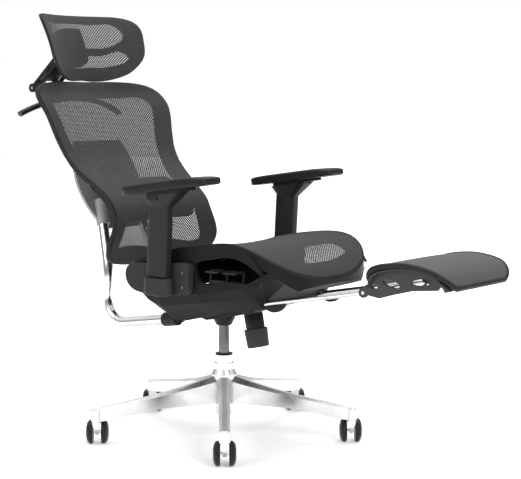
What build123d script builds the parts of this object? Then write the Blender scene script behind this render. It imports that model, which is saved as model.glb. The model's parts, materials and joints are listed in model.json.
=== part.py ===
"""Reclining office chair with a pull-out footrest, shown reclined with the footrest out.

Frame: millimetres, origin on the floor on the column axis, +Z up, the sitter faces -Y and the
sitter's left is +X.  Every piece is written as its own STEP file.
"""
from build123d import *
import os
from math import atan2, cos, degrees, hypot, radians, sin, sqrt

# ----------------------------------------------------------------------------- driving dimensions
# clearances
RUN = 0.05            # running fit, on the radius
GAP = 0.3             # free gap between pieces that move past each other
OUTLINE_STEP = 9.0    # least height between an outline's end and its next point

# base and casters
LEG_COUNT = 5
BASE_TURN = -140.0    # polar angle of the first leg
STEM_CIRCLE = 336.0   # column axis to caster stem
LEG_WALL = 4.0
HUB_BOTTOM = 88.0
HUB_TOP = 190.0
HUB_R_TOP = 26.0
HUB_R_FOOT = 33.0
BOOT_R = 13.5
BOOT_BOTTOM = 61.0
BOOT_TOP = 91.0
STEM_R = 5.5
STEM_LENGTH = 22.0
WHEEL_R = 30.0
WHEEL_WIDTH = 16.0
WHEEL_GAP = 21.4      # between the inner faces of a pair
WHEEL_LIP_R = 17.0
AXLE_R = 4.0
AXLE_CAP = 3.0        # closed end of a wheel's bore
FORK_TOP_W = 20.4
FORK_FOOT_W = 9.0
CASTER_TRAIL = 20.0
CASTER_TURN = 39.85   # polar angle of every caster's trail

# gas column
TUBE_R = 21.5
TUBE_WALL = 3.5
TUBE_BOTTOM = 58.0
TUBE_TOP = 214.0
BUSH_LENGTH = 70.0
CYLINDER_R = 14.0
CYLINDER_BORE_R = 10.0
CYLINDER_BOTTOM = 132.0
CYLINDER_TOP = 352.0
GLAND_LENGTH = 12.0
ROD_R = 5.0
PISTON_R = 9.6
PISTON_HEIGHT = 12.0
PISTON_AT = 250.0
CAP_THICK = 4.0
BEARING_R = 12.0
BEARING_HEIGHT = 6.0
CLIP_THICK = 3.0
VALVE_R = 3.0
VALVE_LENGTH = 6.0

# mechanism
HOUSING_HALF_W = 58.0
HOUSING_TOP = 392.0
HOUSING_SIDE = [(64, 318), (64, 388), (20, 392), (-128, 392), (-148, 376), (-148, 340), (-60, 318), (10, 305)]
HOUSING_ROUND = 6.0
FLANGE_HALF_W = 78.0
FLANGE_YS = [18, -85, -140]
FLANGE_T = 5.0
BOSS_BOTTOM = 288.0
BOSS_TOP = 306.0
BOSS_R_FOOT = 20.0
BOSS_R_TOP = 29.0
TILT_Y = 45.0
TILT_Z = 340.0
TILT_SHAFT_R = 6.0
TILT_SHAFT_HALF = 78.0
KNOB_Y = -97.0
KNOB_Z = 322.0
KNOB_LEAN = 11.7      # degrees, foot of the knob forward
KNOB_NECK_R = 23.0
KNOB_NECK_LENGTH = 34.0
KNOB_GRIP_R = 30.0
KNOB_GRIP_FOOT_R = 27.5
KNOB_GRIP_LENGTH = 48.0
KNOB_RIBS = 20
KNOB_RIB_R = 1.6
KNOB_BOLT_R = 5.0
SPRING_R = 13.0
SPRING_WIRE = 4.0
SPRING_TURNS = 4
SPRING_LENGTH = 38.0
SPRING_POCKET_R = SPRING_R + SPRING_WIRE / 2 + GAP

# seat
SEAT_HALF_W = 216.0
SEAT_REAR = 140.0
SEAT_REAR_R = 40.0
SEAT_NOSE = [(0, -351), (62, -348), (118, -339), (158, -324), (186, -303), (204, -280), (213, -256), (216, -228)]
SEAT_RING_W = 44.0
SEAT_RING_H = 24.0
SEAT_MESH_T = 2.5
SEAT_MESH_INSET = 9.0
SEAT_DISH = 9.0
SEAT_EDGE = [(140, 458), (70, 476), (8, 495), (-52, 509), (-111, 518), (-192, 525), (-231, 521),
             (-267, 508), (-302, 487), (-332, 462), (-354, 436)]
CHEEK_T = 12.0
CHEEK_REAR = [(104, 396), (128, 426), (128, 451)]
CHEEK_FRONT = [(-296, 452), (-286, 430), (-225, 420), (-96, 396)]
WINDOW = [(-92, 446), (-92, 470), (-130, 482), (-192, 492), (-237, 485), (-276, 466), (-300, 446),
          (-237, 434), (-164, 429)]
RIB_T = 7.0

# seat pan: stations along Y, each (y, top z, half width at top, z and half width at the knee,
# bottom z, half width at the bottom)
PAN = [(118, 437, 196, 386, 186, 372, 112), (92, 437, 208, 366, 186, 326, 120),
       (50, 402, 212, 352, 182, 303, 120), (-85, 402, 212, 372, 186, 338, 122),
       (-222, 424, 206, 392, 160, 361, 118), (-229, 426, 204, 402, 156, 381, 117),
       (-284, 458, 186, 440, 158, 426, 116), (-314, 449, 152, 443, 140, 434, 104)]
PAN_WALL = 3.5
PAN_KNEE_R = 12.0
NOTCH_HALF_W = 126.0
NOTCH_FRONT = 22.0
NOTCH_TOP = 378.0

# footrest
RAIL_X = 115.0
RAIL_R = 6.5
RAIL_WALL = 1.5
RAIL_SLOPE = 10.3     # degrees, front end up
RAIL_AT_Y = -218.0
RAIL_AT_Z = 373.5
RAIL_REAR_RUN = -92.0 # along the rail from the point above, negative to the rear
RAIL_FRONT_RUN = 305.0
GUIDE_LENGTH = 76.0
GUIDE_W = 25.0
GUIDE_H = 22.0
SADDLE_LENGTH = 66.0
SADDLE_DEPTH = 17.0
SADDLE_W = 9.0
PIVOT_R = 4.0
FOOT_HALF_W = 150.0
FOOT_CORNER_R = 45.0
FOOT_PAD_T = 13.0
FOOT_SHELL_T = 4.0
FOOT_TOP = [(-522, 449), (-530, 470), (-546, 486), (-566, 495), (-592, 501), (-625, 505), (-655, 505),
            (-690, 500), (-718, 491), (-739, 477), (-752, 456)]
FOOT_WEB_X = 118.0
FOOT_WEB_T = 7.0
FOOT_WEB_FOOT = [(-524, 446), (-530, 424), (-562, 419), (-600, 430), (-650, 443), (-714, 449)]
FOOT_HOLES = [(-550, 446, 9, 6, 0), (-594, 455, 23, 8, 12), (-672, 464, 27, 7, -7)]  # y, z, half sizes, tilt
FOOT_TRAY_T = 5.0

# back bar and yoke
BAR_R = 14.0
BAR_X = 100.0
BAR_WALL = 3.0
BAR_ROUTE = [(100, 72, 308.3), (100, 328, 270), (98, 314, 420), (62, 376, 588)]
BAR_BENDS = [62, 150]
SOCKET_R = 18.0
SOCKET_LENGTH = 40.0
YOKE_LUG_T = 14.0
YOKE_LUG_R = 14.0
YOKE_CROSS_R = 10.0

# spine: a straight moulded shield; the back slides along it
SPINE_FOOT_Y = 352.0
SPINE_FOOT_Z = 520.0
SPINE_LEAN = 22.7     # degrees from upright
SPINE_LENGTH = 250.0
SPINE_T = 8.0
SPINE_OUTLINE = [(66, 0), (104, 60), (120, 135), (112, 185), (88, 250)]
SPINE_BOW = 14.0
SPINE_RAIL_W = 24.0
SPINE_RAIL_NECK = 8.0
SPINE_HEAD_W = 38.0
SPINE_HEAD_T = 5.0
SPINE_RAIL_START = 52.0
SPINE_RAIL_END = 240.0

# back frame
BACK_EDGE = [(214, 436), (203, 473), (192, 508), (188, 548), (205, 592), (240, 627), (284, 655),
             (324, 688), (357, 734), (378, 780), (398, 828), (427, 868), (450, 912)]
BACK_SAG = 38.0
BACK_SAG_W = 235.0
BACK_OUT_Z = [445, 473, 498, 521, 544, 568, 591, 629, 673, 712, 756, 802, 840, 866]
BACK_OUT_X = [188, 205, 207, 200, 191, 185, 184, 184, 199, 207, 217, 228, 235, 235]
BACK_TOP = 908.0
BACK_TOP_X = 130.0
BACK_FOOT = 438.0
BACK_FOOT_X = 140.0
BACK_RING_W = 44.0
BACK_RING_T = 12.0
BACK_FOOT_BAND = 46.0
BACK_MESH_T = 2.0
BACK_MESH_INSET = 2.0
BRIDGE_LOW = 572.0
BRIDGE_HIGH = 642.0
BRIDGE_T = 7.0
LUMBAR_HALF_W = 134.0
LUMBAR_LOW = 548.0
LUMBAR_HIGH = 652.0
LUMBAR_SET_BACK = 3.0
LUMBAR_ROUND = 30.0
CARRIAGE_W = 64.0
CARRIAGE_START = 60.0
CARRIAGE_LENGTH = 110.0
CARRIAGE_DEPTH = 16.0
WEB_X = 24.0
WEB_T = 8.0

# coat hanger
HANGER_TIP = (187, 549, 823)
HANGER_MID = (0, 532, 864)
HANGER_H = 15.0
HANGER_D = 22.0
HANGER_BOSS_W = 44.0
HANGER_BOSS_L = 40.0

# headrest
HEAD_ARM_HALF_W = 46.0
HEAD_BASE_DROP = 14.0 # the arm's foot below its middle line
HEAD_BASE_H = 16.0
HEAD_BASE_L = 34.0
HEAD_FOOT = (500, 900)
HEAD_ELBOW = (655, 893)
HEAD_HUB = (570, 966)
HEAD_PIN_R = 4.0
HEAD_KNUCKLE_R = 12.0
HEAD_CHEEK_T = 9.0
HEAD_LINK_T = 9.0
HEAD_EDGE = [(411, 905), (412, 922), (417, 950), (426, 980), (436, 1008), (447, 1034),
             (461, 1060), (480, 1088)]
HEAD_SAG = 80.0
HEAD_SAG_W = 182.0
HEAD_OUT_Z = [922, 934, 949, 964, 979, 995, 1026, 1056, 1070]
HEAD_OUT_X = [107, 132, 149, 162, 171, 176, 180, 182, 178]
HEAD_TOP = 1090.0
HEAD_TOP_X = 130.0
HEAD_FOOT_Z = 911.0
HEAD_FOOT_X = 60.0
HEAD_RING_T = 8.0
HEAD_MESH_T = 2.0
HEAD_MESH_INSET = 1.5
HEAD_WINDOW_HIGH = [(0, 998), (70, 1001), (118, 1014), (142, 1040), (132, 1062), (80, 1067), (0, 1068)]
HEAD_WINDOW_LOW = [(0, 946), (60, 948), (108, 956), (140, 976), (128, 990), (80, 984), (0, 981)]
HEAD_HUB_SIDE = [(520, 956), (566, 954), (582, 966), (594, 990), (597, 1016), (588, 1040), (560, 1052), (520, 1050)]

# armrests
ARM_X = 250.0
POST_LONG = 62.0
POST_WIDE = 32.0
POST_INNER_LONG = 46.0
POST_INNER_WIDE = 19.0
POST_FOOT_Y = -3.0
POST_FOOT_Z = 438.0
POST_LEAN = 3.5       # degrees, top forward
POST_NECK = 168.0     # length of the straight part
POST_BORE = 150.0
FLARE_LONG = 128.0
FLARE_WIDE = 54.0
PAD_Y = -44.0
PAD_Z = 648.0
PAD_TILT = 8.0        # degrees, nose up
PAD_LENGTH = 312.0
PAD_WIDTH = 88.0
PAD_T = 23.0
PAD_ROUND = 30.0
PAD_EDGE_R = 7.0
CARRIER_T = 7.0
CARRIER_LONG = 150.0
CARRIER_WIDE = 50.0
TURN_R = 17.0
TURN_DEPTH = 5.0
SOCKET_LONG = 78.0
SOCKET_WIDE = 46.0
SOCKET_FOOT_Z = 391.0
BRACKET_OUTLINE = [(123, 440), (119, 414), (104, 399), (73, 390), (25, 387), (-40, 391), (-81, 402),
                   (-84, 440), (-84, 466), (-40, 470), (60, 462)]
BRACKET_T = 17.0
BUTTON_LONG = 34.0
BUTTON_TALL = 9.0
BUTTON_DEPTH = 16.0
BUTTON_Y = -6.0
BUTTON_Z = 628.0
BUTTON_PROUD = 3.0

# control paddles and cables
PADDLE_YS = (-205.0, -150.0)
PADDLE_LONG = 38.0
PADDLE_REACH = 30.0
PADDLE_T = 4.0
PADDLE_X = 196.0      # hinge line, on the sitter's right
PADDLE_Z = 456.0
PADDLE_PIN_R = 2.0
PADDLE_HUB_R = 4.5
EAR_T = 4.0
EAR_DROP = 26.0
CABLE_R = 2.0
CABLE_BENDS = 14.0


# ----------------------------------------------------------------------------- helpers
def side_plane(x):
    """Sketch plane across X: local x is Y, local y is Z."""
    return Plane(origin=(x, 0, 0), x_dir=(0, 1, 0), z_dir=(1, 0, 0))


FRONT_PLANE = Plane(origin=(0, 0, 0), x_dir=(1, 0, 0), z_dir=(0, -1, 0))  # local x is X, y is Z


def normals(points):
    """Unit normal at each point of a polyline, turned left of its direction."""
    result = []
    last = len(points) - 1
    for i in range(len(points)):
        a = points[max(i - 1, 0)]
        b = points[min(i + 1, last)]
        length = hypot(b[0] - a[0], b[1] - a[1])
        result.append((-(b[1] - a[1]) / length, (b[0] - a[0]) / length))
    return result


def offset_points(points, distance):
    return [(p[0] + n[0] * distance, p[1] + n[1] * distance) for p, n in zip(points, normals(points))]


def band_face(plane, points, low, high):
    """Face between two splines that run beside the points, at the distances low and high."""
    one = offset_points(points, low)
    two = offset_points(points, high)
    wire = Wire([Spline(*one), Line(one[-1], two[-1]), Spline(*reversed(two)), Line(two[0], one[0])])
    return plane * make_face(wire)


def bowed_slab(points, low, high, half_w, sag, sag_w, along_y=True):
    """Slab across X whose middle lies back by sag: sections across X, joined smoothly."""
    sections = []
    for share in (-1, -0.5, 0, 0.5, 1):
        x = share * half_w
        shift = sag * (1 - (x / sag_w) ** 2)
        moved = [(p[0] + shift, p[1]) if along_y else (p[0], p[1] - shift) for p in points]
        sections.append(band_face(side_plane(x), moved, low, high))
    return loft(sections)


def behind_surface(points, distance, half_w, sag, sag_w, reach=700.0):
    """Everything behind a bowed surface, out to Y = reach."""
    sections = []
    for share in (-1, -0.5, 0, 0.5, 1):
        x = share * half_w
        shift = sag * (1 - (x / sag_w) ** 2)
        edge = offset_points([(p[0] + shift, p[1]) for p in points], distance)
        top = (reach, edge[-1][1])
        foot = (reach, edge[0][1])
        wire = Wire([Spline(*edge), Line(edge[-1], top), Line(top, foot), Line(foot, edge[0])])
        sections.append(side_plane(x) * make_face(wire))
    return loft(sections)


def mirrored_outline(xs, zs, top, top_x, foot, foot_x, inset=0.0, foot_band=0.0):
    """Closed outline in X and Z from the half widths xs at zs, drawn in by inset all round."""
    points = [(foot_x, foot)] + list(zip(xs, zs)) + [(top_x, top)]
    turned = normals(points)
    moved = [(p[0] + n[0] * inset, p[1] + n[1] * inset) for p, n in zip(points, turned)]
    low = foot + max(inset, foot_band)
    high = top - inset
    kept = []
    for p in moved[1:-1]:
        if low + OUTLINE_STEP < p[1] < high - OUTLINE_STEP and (not kept or p[1] > kept[-1][1]):
            kept.append(p)
    right = [(foot_x - inset, low)] + kept + [(top_x - inset, high)]
    left = [(-x, z) for x, z in reversed(right)]
    return smooth_loop([(0, low)] + right + [(0, high)] + left)


def mirrored_loop(half):
    """Smooth closed outline from its points on one side, the first and last on the middle."""
    return smooth_loop(half + [(-x, z) for x, z in reversed(half[1:-1])])


def prism_y(face, low, high):
    """Extrudes a sketch of X and Z from Y = low to Y = high."""
    return extrude(Plane(origin=(0, high, 0), x_dir=(1, 0, 0), z_dir=(0, -1, 0)) * face, high - low)


def prism_x(face, low, high):
    """Extrudes a sketch of Y and Z from X = low to X = high."""
    return extrude(side_plane(low) * face, high - low)


def polygon(points):
    return make_face(Polyline(*points, close=True))


def smooth_loop(points):
    return make_face(Wire([Spline(*points, periodic=True)]))


def rod_between(a, b, radius):
    """Round bar from a to b."""
    axis = Vector(*b) - Vector(*a)
    return extrude(Plane(origin=a, z_dir=axis) * Circle(radius), axis.length)


def across(y, z, radius, low, high):
    """Round bar along X through (y, z)."""
    return rod_between((low, y, z), (high, y, z), radius)


def hull2(a, b, ra, rb):
    """Outline of two circles and the straight lines that touch both."""
    angle = atan2(b[1] - a[1], b[0] - a[0])
    length = hypot(b[0] - a[0], b[1] - a[1])
    lean = (ra - rb) / length
    side = sqrt(1 - lean * lean)
    corners = []
    for sign, order in ((1, ((a, ra), (b, rb))), (-1, ((b, rb), (a, ra)))):
        ux = lean * cos(angle) - sign * side * sin(angle)
        uy = lean * sin(angle) + sign * side * cos(angle)
        corners += [(c[0] + ux * r, c[1] + uy * r) for c, r in order]
    return polygon(corners) + Pos(*a) * Circle(ra) + Pos(*b) * Circle(rb)


def mirror_x(shape):
    return mirror(shape, about=Plane.YZ)


def both_sides(shape):
    return Compound([shape, mirror_x(shape)])


PARTS = {}


def keep(name, shape):
    """Stores a finished piece under its node name."""
    PARTS[name] = shape
    return shape


# ----------------------------------------------------------------------------- base and casters
def leg_section(r, top, top_half, band, band_half, foot, foot_half, inset=0.0):
    """Section of one leg at radius r: a narrow flat ridge, a shoulder and drawn-in sides."""
    plane = Plane(origin=(r, 0, 0), x_dir=(0, 1, 0), z_dir=(1, 0, 0))
    right = [(foot_half - inset, foot - 2 * inset), (band_half - inset, top - band - inset),
             (max(top_half - inset, 1.5), top - inset)]
    left = [(-x, z) for x, z in reversed(right)]
    return plane * polygon(right + left)


LEG = [(22, 160, 9, 14, 24, 88, 21), (69, 145, 7, 11, 17, 85, 15.5), (158, 123, 6, 6, 14, 83, 12.5),
       (283, 101, 6, 4, 13, 67, 12), (336, 91, 6, 4, 12.5, 61.5, 12)]


def base_star():
    """Five hollow-bottomed legs on a hub, with a boot for each caster stem."""
    outer = loft([leg_section(*s) for s in LEG])
    inner = loft([leg_section(*s, inset=LEG_WALL) for s in LEG])
    keep_in = Pos((STEM_CIRCLE - BOOT_R + HUB_R_FOOT) / 2, 0, HUB_BOTTOM) * Box(
        STEM_CIRCLE - BOOT_R - HUB_R_FOOT, 8 * BOOT_R, 3 * HUB_TOP)
    leg = outer - (inner & keep_in)
    boot = Pos(STEM_CIRCLE, 0, BOOT_BOTTOM) * extrude(Circle(BOOT_R), BOOT_TOP - BOOT_BOTTOM)
    boot = fillet(boot.edges().group_by(Axis.Z)[-1], LEG_WALL)
    leg = leg + boot
    stem_hole = Pos(STEM_CIRCLE, 0, BOOT_BOTTOM) * extrude(Circle(STEM_R + RUN), STEM_LENGTH + 2 * GAP)
    hub_outline = Polyline((0, HUB_BOTTOM), (HUB_R_FOOT, HUB_BOTTOM), (HUB_R_FOOT, 160), (HUB_R_TOP, 174),
                           (HUB_R_TOP, HUB_TOP), (0, HUB_TOP), close=True)
    hub = revolve(Plane.XZ * make_face(hub_outline), Axis.Z)
    star = hub
    for i in range(LEG_COUNT):
        star = star + Rot(0, 0, BASE_TURN + i * 360 / LEG_COUNT) * leg
    for i in range(LEG_COUNT):
        star = star - Rot(0, 0, BASE_TURN + i * 360 / LEG_COUNT) * stem_hole
    return star - Pos(0, 0, HUB_BOTTOM - WHEEL_R) * Cylinder(TUBE_R, 3 * HUB_TOP)


def caster_place(i):
    """Where caster i stands, with its trail along local X."""
    angle = radians(BASE_TURN + i * 360 / LEG_COUNT)
    return Pos(STEM_CIRCLE * cos(angle), STEM_CIRCLE * sin(angle), 0) * Rot(0, 0, CASTER_TURN)


def caster_fork():
    """Slim polished body between the wheels, with its stem and axle."""
    top = BOOT_BOTTOM - GAP
    side = hull2((0, top - BOOT_R), (CASTER_TRAIL, WHEEL_R), BOOT_R - 1, 2.2 * AXLE_R)
    side = side + Pos(0, top - BOOT_R / 2) * Rectangle(2 * BOOT_R - 2, BOOT_R)
    body = extrude(Plane.XZ * side, WHEEL_GAP, both=True)
    face = polygon([(-FORK_TOP_W / 2, top), (FORK_TOP_W / 2, top), (FORK_TOP_W / 2, top - 5),
                    (FORK_FOOT_W / 2, WHEEL_R + 9), (FORK_FOOT_W / 2, 0), (-FORK_FOOT_W / 2, 0),
                    (-FORK_FOOT_W / 2, WHEEL_R + 9), (-FORK_TOP_W / 2, top - 5)])
    slim = extrude(Plane.YZ * face, 4 * BOOT_R, both=True)
    stem = Pos(0, 0, top - STEM_R) * extrude(Circle(STEM_R), STEM_LENGTH + STEM_R)
    stem = chamfer(stem.edges().group_by(Axis.Z)[-1], 1)
    axle_half = WHEEL_GAP / 2 + WHEEL_WIDTH - AXLE_CAP - GAP
    axle = extrude(Plane.XZ.offset(0) * (Pos(CASTER_TRAIL, WHEEL_R) * Circle(AXLE_R)), axle_half, both=True)
    return (body & slim) + stem + axle


def caster_wheel(side):
    """One wheel with a domed outer face and a blind bore; side is 1 or -1 along the axle."""
    w = WHEEL_WIDTH
    bore = AXLE_R + RUN
    profile = [Line((bore, 0), (WHEEL_R - 1.5, 0)), Line((WHEEL_R - 1.5, 0), (WHEEL_R, 1.5)),
               Line((WHEEL_R, 1.5), (WHEEL_R, w * 0.5)),
               ThreePointArc((WHEEL_R, w * 0.5), (WHEEL_R - 4.5, w * 0.82), (WHEEL_LIP_R, w)),
               Line((WHEEL_LIP_R, w), (0, w)), Line((0, w), (0, w - AXLE_CAP)),
               Line((0, w - AXLE_CAP), (bore, w - AXLE_CAP)), Line((bore, w - AXLE_CAP), (bore, 0))]
    wheel = revolve(Plane.XZ * make_face(Wire(profile)), Axis.Z)
    wheel = Pos(0, 0, WHEEL_GAP / 2) * wheel
    return Pos(CASTER_TRAIL, 0, WHEEL_R) * Rot(-90 * side, 0, 0) * wheel


def make_base():
    keep("base_star", base_star())
    for i in range(LEG_COUNT):
        place = caster_place(i)
        keep(f"caster_fork_{i + 1}", place * caster_fork())
        keep(f"caster_wheel_a_{i + 1}", place * caster_wheel(1))
        keep(f"caster_wheel_b_{i + 1}", place * caster_wheel(-1))


# ----------------------------------------------------------------------------- gas column
def revolved(points):
    return revolve(Plane.XZ * polygon(points), Axis.Z)


def make_column():
    inner = TUBE_R - TUBE_WALL
    cap_top = TUBE_BOTTOM + CAP_THICK
    keep("column_tube", revolved([(ROD_R + RUN, TUBE_BOTTOM), (TUBE_R, TUBE_BOTTOM), (TUBE_R, TUBE_TOP),
                                  (CYLINDER_R + GAP, TUBE_TOP), (CYLINDER_R + GAP, TUBE_TOP - 3),
                                  (inner, TUBE_TOP - 3), (inner, cap_top), (ROD_R + RUN, cap_top)]))
    keep("column_bush", revolved([(CYLINDER_R + RUN, TUBE_TOP - 3 - BUSH_LENGTH), (inner, TUBE_TOP - 3 - BUSH_LENGTH),
                                  (inner, TUBE_TOP - 3), (CYLINDER_R + RUN, TUBE_TOP - 3)]))
    keep("thrust_bearing", revolved([(ROD_R + GAP, cap_top), (BEARING_R, cap_top),
                                     (BEARING_R, cap_top + BEARING_HEIGHT), (ROD_R + GAP, cap_top + BEARING_HEIGHT)]))
    seat = cap_top + BEARING_HEIGHT + RUN
    clip = TUBE_BOTTOM - RUN
    top = PISTON_AT + PISTON_HEIGHT
    keep("piston_rod", revolved([(0, clip - CLIP_THICK), (BEARING_R - 2, clip - CLIP_THICK), (BEARING_R - 2, clip),
                                 (ROD_R, clip), (ROD_R, seat), (BEARING_R - 1, seat), (BEARING_R - 1, seat + 3),
                                 (ROD_R, seat + 3), (ROD_R, PISTON_AT), (PISTON_R, PISTON_AT), (PISTON_R, top),
                                 (0, top)]))
    bore_top = CYLINDER_TOP - 20
    shell = revolved([(ROD_R + RUN, CYLINDER_BOTTOM), (CYLINDER_R, CYLINDER_BOTTOM), (CYLINDER_R, CYLINDER_TOP),
                      (0, CYLINDER_TOP), (0, bore_top), (CYLINDER_BORE_R, bore_top),
                      (CYLINDER_BORE_R, CYLINDER_BOTTOM + GLAND_LENGTH), (ROD_R + RUN, CYLINDER_BOTTOM + GLAND_LENGTH)])
    valve = Pos(0, 0, CYLINDER_TOP) * extrude(Circle(VALVE_R), VALVE_LENGTH)
    keep("gas_cylinder", shell + valve)


# ----------------------------------------------------------------------------- mechanism
KNOB_FRAME = Plane(origin=(0, KNOB_Y, KNOB_Z), x_dir=(1, 0, 0),
                   z_dir=(0, sin(radians(KNOB_LEAN)), cos(radians(KNOB_LEAN))))


def knob_bar(radius, low, high):
    """Round bar on the knob's axis, between two heights above its mouth."""
    return extrude(KNOB_FRAME.offset(low) * Circle(radius), high - low)


def pan_floor(y):
    """Height of the underside of the pan's floor, between its stations."""
    for rear, front in zip(PAN, PAN[1:]):
        if rear[0] >= y >= front[0]:
            share = (rear[0] - y) / (rear[0] - front[0])
            return rear[5] + share * (front[5] - rear[5])
    raise ValueError("outside the pan")


def make_mechanism():
    block = prism_x(polygon(HOUSING_SIDE), -HOUSING_HALF_W, HOUSING_HALF_W)
    block = fillet(block.edges().filter_by(Axis.X), HOUSING_ROUND)
    flange_foot = [(y, pan_floor(y) + PAN_WALL) for y in FLANGE_YS]
    flange_top = [(y, z + FLANGE_T) for y, z in reversed(flange_foot)]
    block = block + prism_x(polygon(flange_foot + flange_top), -FLANGE_HALF_W, FLANGE_HALF_W)
    boss = revolved([(0, BOSS_BOTTOM), (BOSS_R_FOOT, BOSS_BOTTOM), (BOSS_R_TOP, BOSS_TOP),
                     (BOSS_R_TOP, TILT_Z), (0, TILT_Z)])
    bore = Pos(0, 0, BOSS_BOTTOM - 1) * extrude(Circle(CYLINDER_R + RUN / 5), CYLINDER_TOP + 1 - BOSS_BOTTOM)
    valve_room = Pos(0, 0, CYLINDER_TOP - 1) * extrude(Circle(2 * VALVE_R), 2 * VALVE_LENGTH)
    shaft_hole = across(TILT_Y, TILT_Z, TILT_SHAFT_R + RUN / 5, -HOUSING_HALF_W - 1, HOUSING_HALF_W + 1)
    housing = block + boss - bore - valve_room - shaft_hole
    housing = housing - knob_bar(SPRING_POCKET_R, -20, SPRING_LENGTH + 4) - knob_bar(
        KNOB_BOLT_R + GAP, 0, SPRING_LENGTH + 12)
    keep("mechanism_housing", housing)
    shaft = across(TILT_Y, TILT_Z, TILT_SHAFT_R, -TILT_SHAFT_HALF, TILT_SHAFT_HALF)
    head_start = HOUSING_HALF_W + 2 * GAP + YOKE_LUG_T
    for low, high in ((head_start, TILT_SHAFT_HALF), (-TILT_SHAFT_HALF, -head_start)):
        shaft = shaft + across(TILT_Y, TILT_Z, TILT_SHAFT_R + 3, low, high)
    keep("tilt_shaft", shaft)

    pitch = (SPRING_LENGTH - SPRING_WIRE) / SPRING_TURNS
    path = Helix(pitch, pitch * SPRING_TURNS, SPRING_R)
    wire = sweep(Plane(origin=path @ 0, z_dir=path % 0) * Circle(SPRING_WIRE / 2), path)
    keep("tension_spring", KNOB_FRAME.offset(3 + SPRING_WIRE / 2).location * wire)

    neck = knob_bar(KNOB_NECK_R, -KNOB_NECK_LENGTH, -4)
    bolt = knob_bar(KNOB_BOLT_R, -KNOB_NECK_LENGTH / 2, SPRING_LENGTH + 8)
    grip = extrude(KNOB_FRAME.offset(-KNOB_NECK_LENGTH - KNOB_GRIP_LENGTH) * Circle(KNOB_GRIP_FOOT_R),
                   KNOB_GRIP_LENGTH, taper=-degrees(atan2(KNOB_GRIP_R - KNOB_GRIP_FOOT_R, KNOB_GRIP_LENGTH)))
    grip = fillet(grip.edges().filter_by(GeomType.CIRCLE), 3)
    grooves = []
    for i in range(KNOB_RIBS):
        angle = radians(i * 360 / KNOB_RIBS)
        at = (KNOB_GRIP_R * cos(angle), KNOB_GRIP_R * sin(angle))
        grooves.append(extrude(KNOB_FRAME.offset(-KNOB_NECK_LENGTH - KNOB_GRIP_LENGTH + 4)
                               * (Pos(*at) * Circle(KNOB_RIB_R)), KNOB_GRIP_LENGTH - 12))
    keep("tension_knob", neck + bolt + (grip - grooves))


# ----------------------------------------------------------------------------- seat
def seat_outline(inset=0.0):
    """Plan of the seat: straight sides, round rear corners and a full rounded front."""
    w = SEAT_HALF_W - inset
    rear = SEAT_REAR - inset
    rear_r = SEAT_REAR_R
    nose = offset_points(SEAT_NOSE, inset)
    nose[0] = (0, SEAT_NOSE[0][1] + inset)
    nose[-1] = (w, SEAT_NOSE[-1][1])
    other = [(-x, y) for x, y in reversed(nose[1:])]
    edges = [
        Line(nose[-1], (w, rear - rear_r)),
        RadiusArc((w, rear - rear_r), (w - rear_r, rear), -rear_r),
        Line((w - rear_r, rear), (-w + rear_r, rear)),
        RadiusArc((-w + rear_r, rear), (-w, rear - rear_r), -rear_r),
        Line((-w, rear - rear_r), other[0]),
        Spline(*other, *nose),
    ]
    return make_face(Wire(edges))


def seat_prism(inset, low=300.0, high=600.0):
    return Pos(0, 0, low) * extrude(seat_outline(inset), high - low)


def seat_slab(low, high):
    """Dished slab below the seat's top, between two depths."""
    return bowed_slab(SEAT_EDGE, low, high, SEAT_HALF_W + 2, SEAT_DISH, SEAT_HALF_W, along_y=False)


def pan_solid(inset=0.0, lift=0.0):
    """Boat-shaped pan, lofted through its stations; inset thins it for the inside."""
    sections = []
    last = len(PAN) - 1
    for i, (y, top, w_top, knee, w_knee, foot, w_foot) in enumerate(PAN):
        shift = -inset if i == 0 else (inset if i == last else 0)
        right = [(w_foot - inset, foot + inset), (w_knee - inset, knee + inset / 2), (w_top - inset, top + lift)]
        left = [(-x, z) for x, z in reversed(right)]
        face = polygon(right + left)
        sections.append(Plane(origin=(0, y + shift, 0), x_dir=(1, 0, 0), z_dir=(0, -1, 0)) * face)
    return loft(sections, ruled=True)


def rail_axis(run, side=1):
    """Point on a rail's centre line, run millimetres forward of the pan's front wall."""
    slope = radians(RAIL_SLOPE)
    return (side * RAIL_X, RAIL_AT_Y - run * cos(slope), RAIL_AT_Z + run * sin(slope))


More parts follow.
